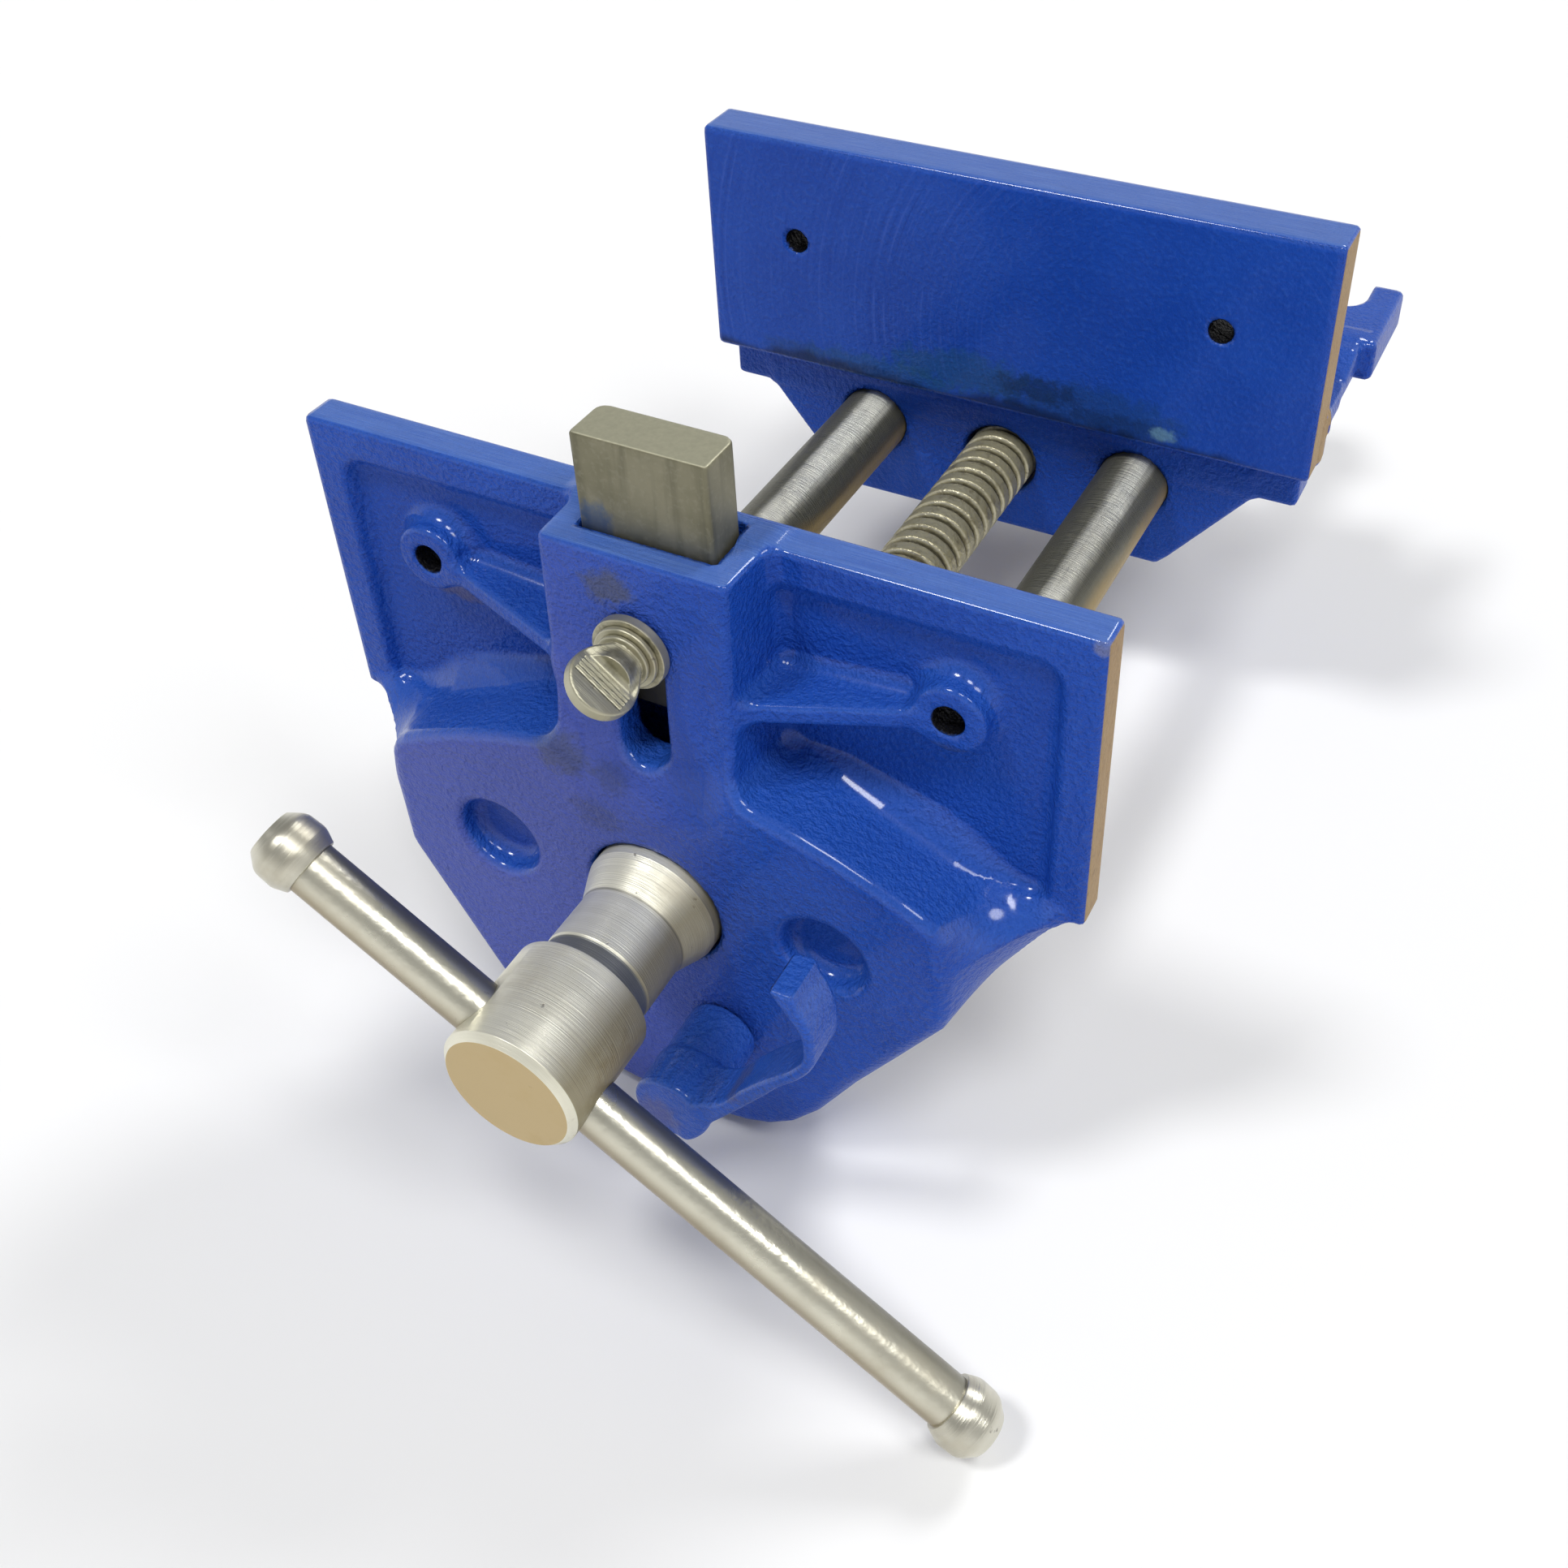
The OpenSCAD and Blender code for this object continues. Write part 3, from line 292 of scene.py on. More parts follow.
def front_casting(x, y, z):
    """Plate, panels, belly with the dog's housing, ribs and bosses, then what is cut from them.

    The belly's outline goes in proportion from that of its face to that of the wall behind, and
    the housing's is joined to it. The front face of both is the housing's slope at the top
    and eases out to the belly's face below it and beside it. The hollow between plate and belly
    is wide on the plate's front, low down and clear of the ends, and narrow elsewhere.
    """
    side = np.abs(x)
    plate = block(x, y, z, (-jaw_half, 0, plate_foot), (jaw_half, plate_back, 0), 1.3)
    across, up = np.abs(side - panel_x) - panel_half[0], np.abs(z - panel_z) - panel_half[1]
    panel = np.hypot(np.maximum(across, 0), np.maximum(up, 0))
    panel = panel + np.minimum(np.maximum(across, up), 0) - panel_r
    body = cut(plate, both(panel - 0.2 * (panel_deep - y), y - panel_deep, 2.4), 1.5)
    t = np.clip((y - belly_front) / -belly_front, 0, 1)
    belly = (1 - t) * outline(x, z, belly_face) + t * outline(x, z, belly_back)
    belly = join(belly, np.maximum(side - 21.6 - 0.05 * y, -62 - z), 5)
    ease = np.clip((-z - 44 + 1.2 * np.maximum(side - 14, 0)) / 20, 0, 1)
    ease = ease * ease * (3 - 2 * ease)
    face = (0.0489 * z - 14.5) * (1 - ease) + belly_front * ease
    belly = np.maximum(both(both(belly, face - y, 1.8 + 1.2 * ease), z, 1.2), y - 5)
    lining_screw = np.hypot(side - front_lining[0], z - front_lining[1])
    boss = both(lining_screw - 7.8, -3 - y, 1.4)
    reach = (front_lining[0] - side) / 39
    rib = both(np.abs(z + 28.35 + 2.9 * reach) - 2.35, -3 - 10.3 * (53 - side) / 32 - y, 1.4)
    rib = np.maximum(rib, np.maximum(side - front_lining[0], 19.5 - side))
    trim = np.maximum(join(boss, rib, 2.5), y - 5)
    wide = np.clip((-z - 46) / 10, 0, 1) * np.clip((74 - side) / 12, 0, 1)
    hollow = 3.5 + 6.5 * wide * np.clip((7 - y) / 4, 0, 1)
    body = join(join(body, belly, hollow), trim, 4)
    body = cut(body, both(np.hypot(side - bar_x, z + 85.2) - 9.8, y + 14.2, 3.4), 2.2)
    screw = np.hypot(x, z - screw_z)
    body = cut(body, np.maximum(screw - 16.2, y + 8), 0.8)
    body = cut(body, np.minimum(screw - 11.1, np.maximum(screw - 16.6, -3.6 - y)), 0.6)
    slot = np.hypot(x, np.maximum(np.maximum(z - slot_top, slot_foot - z), 0)) - slot_r
    body = cut(body, np.maximum(slot, y + 4), 1.7)
    body = cut(body, block(x, y, z, (-15.25, -8.5, -69), (15.25, 3.7, 9), 0.6), 0.8)
    body = cut(body, lining_screw - front_lining[2], 0.9)
    return cut(body, np.hypot(x - rod_x, z - rod_z) - 4.2, 0.5)


deep_blue, pale_blue, thin_blue = (0.008, 0.058, 0.380), (0.012, 0.074, 0.440), (0.04, 0.14, 0.58)
# The first colour on the next line is a painted purple that stands in for warm light on front
# faces.
painted_front_light_purple, ground_blue = (0.080, 0.105, 0.42), (0.12, 0.23, 0.60)
# lit_blue is a painted highlight colour for faces that look up.
lit_blue = (0.035, 0.13, 0.50)


def enamel(name, jaw=False, smooth=None, lining=None, marks=()):
    """Blue enamel over sand cast iron: a gritty orange peel over slow waves, with grey scuffs.

    The grain is finest on the face where smooth is 1. A jaw's top shows grinding lines, and its
    ends are bare iron but for the lugs. The holes for a lining are given as (distance to the
    side, height, radius) and are painted black inside as shade. Marks are (centre, size, amount,
    colour). Faces that look up get a painted highlight of lighter blue and more coat, and front
    faces on the left get a painted purple that stands in for warm light from the front.
    """
    f = Finish(name)
    wave, peel = f.noise(150, 3), f.noise(760, 2, shift=(3, 1, 2))
    grit, cloud = f.noise(1900, 2, shift=(1, 5, 4)), f.noise(26, 4, shift=(7, 3, 1))
    grain = wave * 0.8 + peel * 1.3 + grit * 0.5
    side = abs(f.x)
    blue = f.mix(cloud.over(0.3, 0.7), deep_blue, pale_blue)
    blue = f.mix(peel.over(0.45, 0.85) * 0.3, blue, thin_blue)
    # Painted light: front faces on the left are tinted purple for warm light from the front.
    painted_front_light = (0 - f.ny).over(0.3, 0.95) * (1 - f.y.over(-0.2565, -0.2505))
    painted_front_light = painted_front_light * (1 - f.x.over(-0.02, 0.03))
    blue = f.mix(painted_front_light * (0.5 + 0.6 * cloud), blue, painted_front_light_purple)
    scuff = f.noise(48, 5, shift=(2, 8, 5), rough=0.7).over(0.68, 0.75)
    blue = f.mix(scuff * 0.3, blue, (0.13, 0.14, 0.20))
    for centre, size, amount, colour in marks:
        blue = f.mix(f.patch(centre, size) * amount, blue, colour)
    if smooth:
        grain = grain * (1 - 0.72 * smooth(f))
    if jaw:
        top = -origin[2] / 1000
        ground = f.z.over(top - 0.0012, top - 0.0006) * f.nz.over(0.8, 0.95)
        lines = f.noise(60, 3, stretch=(1, 90, 1), shift=(0, 2, 0))
        grain = grain * (1 - 0.6 * ground) + ground * lines * 0.55
        blue = f.mix(ground * (0.45 + 0.55 * lines.over(0.35, 0.7)), blue, ground_blue)
    # Painted highlight: faces that look up are mixed towards a lighter blue.
    up = f.nz.over(0.1, 0.6)
    blue = f.mix(up * 0.28, blue, lit_blue)
    coat, rough = 0.16 + 0.6 * up, 0.26 + 0.18 * cloud
    # Painted shade: the holes for a lining are made near black inside.
    if lining:
        across, rise = side - lining[0] / 1000, f.z - (lining[1] - origin[2]) / 1000
        reach = (across * across + rise * rise).root()
        inside = 1 - reach.over((lining[2] + 0.05) / 1000, (lining[2] + 0.35) / 1000)
        blue, coat = f.mix(inside, blue, (0.004, 0.004, 0.006)), coat - coat * inside
    if jaw:
        bare = side.over((jaw_half - 0.4) / 1000, (jaw_half - 0.2) / 1000)
        bare = bare * abs(f.nx).over(0.85, 0.95)
        bare = bare * (1 - f.y.over(-0.061, -0.0605))
        iron = f.mix(cloud, (0.40, 0.28, 0.15), (0.30, 0.20, 0.11))
        iron = f.mix(peel.over(0.5, 0.8) * 0.5, iron, (0.20, 0.14, 0.09))
        blue, rough = f.mix(bare, blue, iron), rough + 0.22 * bare
        coat, grain = coat * (1 - bare), grain * (1 - 0.7 * bare)
    return f.set(Base_Color=blue, Roughness=rough, Normal=f.bump(grain, 0.0015, 0.65),
                 Coat_Weight=coat, Coat_Roughness=0.12, Specular_IOR_Level=0.1)


grey_rub, dark_rub = (0.075, 0.085, 0.13), (0.04, 0.05, 0.12)
front_enamel = enamel("front_enamel", jaw=True, lining=front_lining, marks=[
    ((-5.4, -15.3, -7.7), (7, 4, 5), 0.75, grey_rub),
    ((-18.9, belly_front, -51.8), (9, 5, 7), 0.6, grey_rub),
    ((-12, belly_front, -66), (8, 5, 5), 0.35, dark_rub),
    ((-8, belly_front, -54), (6, 5, 5), 0.4, dark_rub),
    ((88, 0.5, -1.5), (3, 3, 2.2), 0.4, (0.30, 0.29, 0.28)),
    # Painted shadow under the right boss for the lining screw.
    ((60, -3, -34), (6, 4, 3), 0.5, (0.02, 0.03, 0.08)),
    # Painted shade inside the dog's slot below the thumb screw.
    ((0, -1, -40), (9, 13, 15), 0.97, (0.004, 0.005, 0.012)),
    ((-58, 2, -38), (12, 5, 3), 0.5, (0.12, 0.10, 0.13))])
front_jaw = cast("front_jaw_casting", front_casting,
                 (-jaw_half, belly_front, -158.5), (jaw_half, 9, 0), 1.05)
dress(front_jaw, front_enamel, "front", "blue_paint", "front_jaw")

# Guide bars: two ground steel bars, pressed in the front jaw, with rub marks along them from the
# bores that they slide in.


def ground_bar(name, tint=(0.78, 0.77, 0.66)):
    """Ground steel: very fine rings from the grinding, long faint scuffs and patches of a tan film.
    Painted shade darkens the flanks, which leaves a painted highlight on top, and a painted tan
    reflection lies underneath."""
    f = Finish(name)
    rings = f.noise(5200, 2, stretch=(0.02, 1, 0.02))
    scuff = f.noise(500, 4, stretch=(1, 0.03, 1), shift=(4, 0, 1))
    film = f.noise(34, 4, stretch=(1, 0.5, 1), shift=(0, 1, 6)).over(0.45, 0.75)
    # Painted shade: the flanks are darkened by their normals, which leaves the top looking lit.
    off = abs(f.nx - 0.29)
    flank = (off + film * 0.1 + (scuff - 0.5) * 0.3).over(0.13, 0.5)
    steel = f.mix(film * 0.4, tint, (0.40, 0.37, 0.26))
    steel = f.mix(scuff.over(0.5, 0.75) * 0.4, steel, (0.24, 0.23, 0.18))
    steel = f.mix(flank * 0.9, steel, (0.085, 0.082, 0.052))
    # Painted reflection: the underside is mixed towards tan.
    steel = f.mix((0.4 - f.nz + film * 0.3).over(0, 0.5) * 0.85, steel, (0.40, 0.29, 0.12))
    return f.set(Base_Color=steel, Metallic=0.65, Roughness=0.3 + 0.12 * scuff + 0.1 * film,
                 Normal=f.bump(rings + scuff * 0.05, 0.0006, 0.7))


def finish_node(finish, *nodes):
    """Gives CAD nodes that keep their own shape a better material."""
    for node in nodes:
        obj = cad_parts[node]
        obj.data.materials.clear()
        obj.data.materials.append(finish.material)


bar_steel = ground_bar("ground_bar_steel")
finish_node(bar_steel, "guide_bar_left", "guide_bar_right")

# Lead screw: turned from one bar, with a head for the tommy bar, a neck, a cone and the flange
# that bears in the front jaw. The thread is a coarse trapezoidal one, dark with old oil.


def ringed(name, rings, poles, normals=None, clockwise=False):
    """A tube from rings of points in mm, rings x sides x 3, closed by a fan to a pole at each end.

    The sides run anticlockwise seen along the tube, unless clockwise is true.
    """
    count, sides = rings.shape[:2]
    n, last = count * sides, (count - 1) * sides
    j, k = np.arange(sides), (np.arange(sides) + 1) % sides
    i = np.arange(count - 1)[:, None] * sides
    walls = np.stack([i + j, i + k, i + sides + k, i + sides + j], -1).reshape(-1, 4)
    fans = np.concatenate([np.stack([0 * j + n, k, j], 1),
                           np.stack([last + j, last + k, 0 * j + n + 1], 1)])
    if clockwise:
        walls, fans = walls[:, [0, 3, 2, 1]], fans[:, [0, 2, 1]]
    points = np.concatenate([rings.reshape(-1, 3), poles])
    return new_mesh(name, to_part(points), walls.tolist() + fans.tolist(), normals)


def turned(name, profile, centre, axis, sides=96, arc_steps=6):
    """A profile turned about an axis through centre, in mm.

    The profile is a list of (distance along the axis, radius, corner radius). Every corner is
    replaced by an arc, so the normals follow the arcs and the flats between them. Where the
    profile turns left, the corner is hollow and its normals point to the arc's middle. A point
    at distance s and radius r goes round as s * axis + r * (cos(turn) * first + sin(turn) *
    second), where first and second are at right angles to the axis.
    """
    corners = np.array([q[:2] for q in profile], float)
    path, out = [], []
    for a, b, c, r in zip(corners, corners[1:], corners[2:], [q[2] for q in profile[1:-1]]):
        u, v = (a - b) / np.linalg.norm(a - b), (c - b) / np.linalg.norm(c - b)
        half = math.acos(np.clip(u @ v, -1, 1)) / 2
        middle = b + (u + v) / np.linalg.norm(u + v) * r / math.sin(half)
        start, end = (b + w * r / math.tan(half) - middle for w in (u, v))
        hollow = u[1] * v[0] - u[0] * v[1] > 0
        for k in range(arc_steps + 1):
            d = start * (arc_steps - k) + end * k
            d /= np.linalg.norm(d)
            path.append(middle + d * r)
            out.append(-d if hollow else d)
    axis = np.array(axis, float) / np.linalg.norm(axis)
    first = np.cross(axis, [0.3, 0.1, 0.9])
    first /= np.linalg.norm(first)
    turn = np.linspace(0, 2 * np.pi, sides, endpoint=False)[:, None]
    spoke = np.cos(turn) * first + np.sin(turn) * np.cross(axis, first)
    rings, facing = (np.array(q)[:, None, :1] * axis + np.array(q)[:, None, 1:] * spoke
                     for q in (path, out))
    poles = np.outer(corners[[0, -1], 0], axis) + centre
    return ringed(name, rings + centre, poles,
                  np.concatenate([facing.reshape(-1, 3), [-axis, axis]]))


def subtract(obj, tool):
    """Takes the tool's solid out of the object's and removes the tool."""
    modifier = obj.modifiers.new("hole", "BOOLEAN")
    modifier.operation, modifier.object, modifier.solver = "DIFFERENCE", tool, "EXACT"
    bpy.context.view_layer.update()
    cut_object = obj.evaluated_get(bpy.context.evaluated_depsgraph_get())
    done = bpy.data.meshes.new_from_object(cut_object)
    obj.modifiers.clear()
    obj.data = done
    bpy.data.objects.remove(tool)


def turned_steel(name, along, tint=(0.68, 0.66, 0.56), stain=0.45, groove=1.0, lean=0.0,
                 rough=0.27, marks=(), metal=0.7):
    """Turned steel: fine grooves round the axis, given as a stretch that is large along it,
    after a turn by lean about y. It is brown in patches, and marks are as in the enamel."""
    f = Finish(name)
    spots = [(f.patch(centre, size) * amount, colour) for centre, size, amount, colour in marks]
    f.place = f.node("Mapping", {}, {"Vector": f.place, "Rotation": (0, lean, 0)})
    fine = f.noise(1.0, 2, stretch=tuple(5200 * a + 25 for a in along))
    broad = f.noise(1.0, 3, stretch=tuple(500 * a + 9 for a in along), shift=(0.3, 0.7, 0.1))
    film = f.noise(42, 5, shift=(5, 2, 8), rough=0.62).over(0.46, 0.72)
    steel = f.mix(broad.over(0.3, 0.7) * 0.4, tint, tuple(0.75 * c for c in tint))
    steel = f.mix(film * stain, steel, (0.33, 0.27, 0.16))
    pits = f.noise(300, 3, shift=(9, 4, 4)).over(0.70, 0.76)
    steel = f.mix(pits * 0.7, steel, (0.12, 0.10, 0.08))
    for amount, colour in spots:
        steel = f.mix(amount, steel, colour)
    return f.set(Base_Color=steel, Metallic=metal, Roughness=rough + 0.12 * broad + 0.14 * film,
                 Normal=f.bump(fine * groove + broad * 0.05 - pits * 0.2, 0.0004, 0.7))


def band(f, low, high, soft=0.15):
    """1 between two distances along y in mm off the jaw's front, 0 beyond them."""
    low, high, soft = (low - origin[1]) / 1000, (high - origin[1]) / 1000, soft / 1000
    return f.y.over(low - soft, low + soft) * (1 - f.y.over(high - soft, high + soft))


def screw_finish():
    """Turned steel with a tan end, painted brown shade on its right flank, painted shade in the
    groove behind the head and a dark line at the cone.
    """
    rust = (0.24, 0.16, 0.075)
    f = turned_steel("turned_screw_steel", (0, 1, 0), tint=(0.86, 0.84, 0.70), stain=0.35,
                     groove=0.3, rough=0.3, metal=0.55, marks=[
        ((14, -60, -92), (8, 13, 12), 0.8, rust), ((8, -70, -101), (9, 6, 9), 0.6, rust),
        ((11, -38, -96), (5, 7, 8), 0.7, rust), ((14, -18, -96), (6, 6, 10), 0.6, rust),
        ((-15, -64, -78), (5, 8, 7), 0.5, rust)])
    steel = f.now("Base Color")
    # Painted shade: the right flank is mixed towards brown.
    flank = (0.92 - f.nz).over(0, 0.5) * f.nx.over(0, 0.5) * f.ny.over(-0.8, -0.3)
    steel = f.mix(flank * 0.85, steel, (0.24, 0.20, 0.105))
    end = (0 - f.ny).over(0.9, 0.99) * (1 - f.y.over(-0.3125, -0.3121))
    steel = f.mix(end * 0.9, steel, (0.52, 0.375, 0.155))
    # Painted shade: the groove behind the head is darkened.
    steel = f.mix(band(f, -48.1, -43.0) * 0.9, steel, (0.12, 0.13, 0.14))
    steel = f.mix(band(f, -29.6, -29.1) * 0.6, steel, (0.10, 0.09, 0.07))
    return f.set(Base_Color=steel)


screw_turned, screw_place = screw_finish(), np.array([0, 0, screw_z])
shank = turned("screw_turned", [(-74.5, 0, 0), (-74.5, 14.0, 0.2), (-73.0, 15.5, 0.25),
                                (-48.2, 15.5, 0.4), (-48.2, 12.15, 0.3), (-43.4, 12.15, 0.4),
                                (-42.4, 12.5, 0.6), (-29.5, 12.4, 3.0), (-22.6, 15.2, 1.2),
                                (-21.4, 15.6, 0.6), (-8.4, 15.6, 0.5), (-8.4, 11, 0.3),
                                (-3.3, 11, 0.3), (-3.3, 9, 0.3), (25.5, 9, 0.5), (25.5, 0, 0)],
               screw_place, (0, 1, 0), 128)
tilt = math.radians(33.8)
bar_axis = (math.cos(tilt), 0, -math.sin(tilt))
bar_centre = np.array([0, -64.4, screw_z])
subtract(shank, turned("hole_tool", [(-30, 0, 0), (-30, 6.05, 0.1), (30, 6.05, 0.1), (30, 0, 0)],
                       bar_centre, bar_axis, 64))
dress(shank, screw_turned, "screw", "turned_steel", "lead_screw")


def thread_radius(y, turn, phase_y, lead, root, depth, half_crest=0.345, ease=0.035):
    """Radius of a trapezoidal thread at y and an angle in degrees from +Z towards +X.

    The place in the pitch is the fraction of (y - phase_y) / lead - turn / 360, from -0.5 to
    0.5. The radius climbs one flank, stays on the crest as wide as twice half_crest, falls
    down the other flank and stays on the root. All four corners are eased.
    """
    s = np.mod((y - phase_y) / lead - turn / 360 + 0.5, 1) - 0.5
    return root + depth * (0.5 - 0.5 * np.tanh((np.abs(s) - half_crest) / ease))


def thread_mesh(name, y0, y1, phase_y, lead, root, depth, sides=48, per_lead=16, run_out=3):
    """The thread's surface on a grid of y and angle, run out to its root at both ends."""
    y = np.linspace(y0, y1, int((y1 - y0) / lead * per_lead) + 1)[:, None]
    turn = np.arange(sides) * 360 / sides
    fade = np.clip(np.minimum(y - y0, y1 - y) / run_out, 0, 1)
    r = root + (thread_radius(y, turn, phase_y, lead, root, depth) - root) * fade
    a = np.radians(turn)
    rings = np.stack(np.broadcast_arrays(r * np.sin(a), y, r * np.cos(a)), -1) + screw_place
    return ringed(name, rings, np.array([(0, y0, 0), (0, y1, 0)]) + screw_place, clockwise=True)


def oily_thread():
    """Steel thread: olive grey crests with a painted pale highlight at their edges, dark oil in its
    roots.
    """
    f = Finish("oily_thread_steel")
    up = f.z - to_part(screw_place)[2]
    radius = (f.x * f.x + up * up).root()
    dirt, speck = f.noise(260, 4, rough=0.65), f.noise(900, 2, shift=(3, 3, 1))
    crest = (radius + dirt * 0.0004).over(0.0088, 0.0096)
    # Painted highlight: a pale band at each crest's edges.
    edge = radius.over(0.0092, 0.0096) * (1 - radius.over(0.00978, 0.00996))
    steel = f.mix(crest, (0.065, 0.058, 0.033), (0.40, 0.365, 0.22))
    steel = f.mix(edge * 0.75, steel, (0.66, 0.62, 0.46))
    steel = f.mix(dirt.over(0.5, 0.72) * 0.6, steel, (0.15, 0.125, 0.065))
    return f.set(Base_Color=steel, Metallic=0.2 + 0.2 * crest, Roughness=0.44 - 0.14 * crest,
                 Normal=f.bump(dirt + speck * 0.8, 0.0005, 0.7))


thread_finish = oily_thread()
thread = thread_mesh("screw_thread", 24, 282.4, phase_y=192.1, lead=6, root=8, depth=2)
dress(thread, thread_finish, "screw", "turned_steel")
tail = turned("screw_tail", [(280, 0, 0), (280, 6.5, 0.2), (310.9, 6.5, 0.8), (310.9, 0, 0)],
              screw_place, (0, 1, 0), 64)
dress(tail, screw_turned, "screw", "turned_steel")

# Tommy bar: a drawn steel bar, loose in the head, with a turned knob pressed on each end. The
# bar is polished by hands.


def drawn_steel():
    """Drawn steel with painted shade on the side towards the jaw and a painted tan reflection
    below.
    """
    f = turned_steel("drawn_bar_steel", (0.1, 0.1, 0.1), tint=(0.74, 0.72, 0.60), stain=0.35,
                     groove=0.3, lean=-tilt, rough=0.22, metal=0.8)
    steel = f.now("Base Color")
    # Painted shade: the side towards the jaw is darkened.
    steel = f.mix((f.ny + 0.1).over(0, 0.55) * 0.75, steel, (0.13, 0.125, 0.10))
    # Painted reflection: the underside is mixed towards tan.
    steel = f.mix((0.6 - f.nz).over(0, 0.8) * 0.85, steel, (0.25, 0.19, 0.10))
    return f.set(Base_Color=steel)


bar_finish = drawn_steel()
tommy = turned("tommy_bar_drawn", [(-57.4, 0, 0), (-57.4, 5.63, 0.3), (108, 5.63, 0.3),
                                   (108, 0, 0)], bar_centre, bar_axis, 64)
dress(tommy, bar_finish, "tommy", "turned_steel", "tommy_bar")
knob_steel = turned_steel("turned_knob_steel", (1, 0, 0), tint=(0.66, 0.64, 0.54), stain=0.4,
                          groove=0.3, lean=-tilt, rough=0.24, metal=0.9)
knob_shape = [(0, 0, 0), (0, 6.35, 0.3), (3.0, 7.6, 4.0), (7.6, 7.4, 3.5), (10.6, 5.0, 0.5),
              (10.6, 0, 0)]
for name, at, way in (("left", -57.2, -1), ("right", 107.8, 1)):
    place = bar_centre + at * np.array(bar_axis)
    knob = turned(f"knob_{name}", knob_shape, place, way * np.array(bar_axis), 72)
    dress(knob, knob_steel, "tommy", "turned_steel", f"tommy_knob_{name}")

# Bench dog: a milled steel block in the front jaw's housing, dull grey with vertical rub marks
# and some of the jaw's blue where it slides.

dog_wide, dog_deep, dog_high, dog_y, dog_z = 29.5, 11.2, 62, -2.4, -10.5


def dog_field(x, y, z):
    """A block with upright edges that are sharper in front, and a crisp top."""
    r = np.where(y < dog_y, 0.9, 2.6)
    across, deep = np.abs(x) - dog_wide / 2 + r, np.abs(y - dog_y) - dog_deep / 2 + r
    upright = np.hypot(np.maximum(across, 0), np.maximum(deep, 0)) - r
    return both(upright, np.abs(z - dog_z) - dog_high / 2, 0.6)


def milled_steel():
    """Dull olive grey steel, mottled and faintly streaked, with a painted lighter top and a
    painted shade, near black, inside the jaw.
    """
    f = Finish("milled_dog_steel")
    streak = f.noise(420, 4, stretch=(1, 1, 0.08))
    speck, cloud = f.noise(800, 4, shift=(1, 1, 1)), f.noise(75, 4, shift=(3, 2, 2))
    metal = f.mix(cloud.over(0.3, 0.7), (0.175, 0.165, 0.105), (0.255, 0.24, 0.165))
    metal = f.mix(streak.over(0.45, 0.75) * 0.5, metal, (0.10, 0.095, 0.06))
    metal = f.mix(speck.over(0.5, 0.7) * 0.25, metal, (0.33, 0.32, 0.24))
    # Painted light: faces that look up are made lighter.
    metal = f.mix(f.nz.over(0.7, 0.95), metal, f.mix(speck, (0.52, 0.51, 0.37), (0.36, 0.35, 0.26)))
    smear = f.patch((-11, -8.2, -1), (5, 4, 8)) * (0.5 + 0.5 * streak)
    metal = f.mix(smear * 0.75, metal, (0.03, 0.10, 0.24))
    # Painted shade: below the jaw's top the dog is darkened to near black and made less metallic.
    painted_jaw_shade = 1 - (f.z + speck * 0.003).over(0.0465, 0.0505)
    metal = f.mix(painted_jaw_shade * 0.93, metal, (0.006, 0.006, 0.007))
    return f.set(Base_Color=metal, Metallic=0.7 - 0.5 * painted_jaw_shade, Roughness=0.44 + 0.14 * speck,
                 Normal=f.bump(streak * 0.5 + speck * 0.6, 0.00014, 0.6))


dog = cast("bench_dog_milled", dog_field, (-15, -8.2, -42), (15, 3.4, 21), 0.7)
dress(dog, milled_steel(), "dog", "raw_iron", "bench_dog")

# Thumb screw of the dog: plated steel with a stamped spade grip, a shoulder, a lock ring and
# a broad washer that bears on the housing.

thumb_z = -20
plated = turned_steel("plated_fastener_steel", (0, 1, 0), tint=(0.50, 0.48, 0.36), stain=0.5,
                      groove=0.3, rough=0.3, metal=0.8, marks=[
                          ((0, -22.8, thumb_z), (7.5, 2.4, 7.5), 0.7, (0.14, 0.13, 0.085)),
                          # Painted shade on the washer's front face round the lock ring.
                          ((0, -18.2, thumb_z), (10, 0.5, 10), 0.8, (0.10, 0.095, 0.06))])
for name, back, r, thick, body in (("dog_washer", -15.93, 8.1, 2.2, "washer"),
                                   ("dog_lock_ring", -18.18, 6.9, 1.2, "lock_ring")):
    front = back - thick
    ring = turned(name + "_plated", [(front, 0, 0), (front, r, 0.3), (back, r, 0.2), (back, 0, 0)],
                  (0, 0, thumb_z), (0, 1, 0), 72)
    dress(ring, plated, body, "plated_steel", name)


def spade(x, y, z):
    """A round flat grip, tilted about the screw's axis, that swells to a shoulder behind it.

    Each face has a flat pad outside, four ridges across it, and a dish towards the shoulder.
    """
    lean, up, middle, foot = math.radians(40), z - thumb_z, y + 28.1, y + 25.6
    q = x * math.cos(lean) - up * math.sin(lean)
    p = x * math.sin(lean) + up * math.cos(lean)
    ridges = 0.22 * np.cos(middle * 2 * math.pi / 1.05) * (np.abs(middle) < 2.1)
    swell = 2.6 * np.clip(foot / 5.6, 0, 1) ** 2
    dish = 0.35 * np.exp(-(foot / 1.4) ** 2)
    face = np.abs(p) - 1.5 - ridges * (np.abs(q) < 5.8) + dish - swell
    grip = both(np.hypot(q, y + 27.28) - 7.2, face, 0.55)
    radius = np.hypot(x, up)
    neck = np.maximum(radius - 4.4, np.maximum(-24.5 - y, y + 20))
    shoulder = both(radius - 5.8, np.abs(y + 19.98) - 0.5, 0.25)
    shaft = np.maximum(radius - 3.98, np.maximum(-20 - y, y - 2.2))
    return np.minimum(np.minimum(join(grip, neck, 1.2), shoulder), shaft)


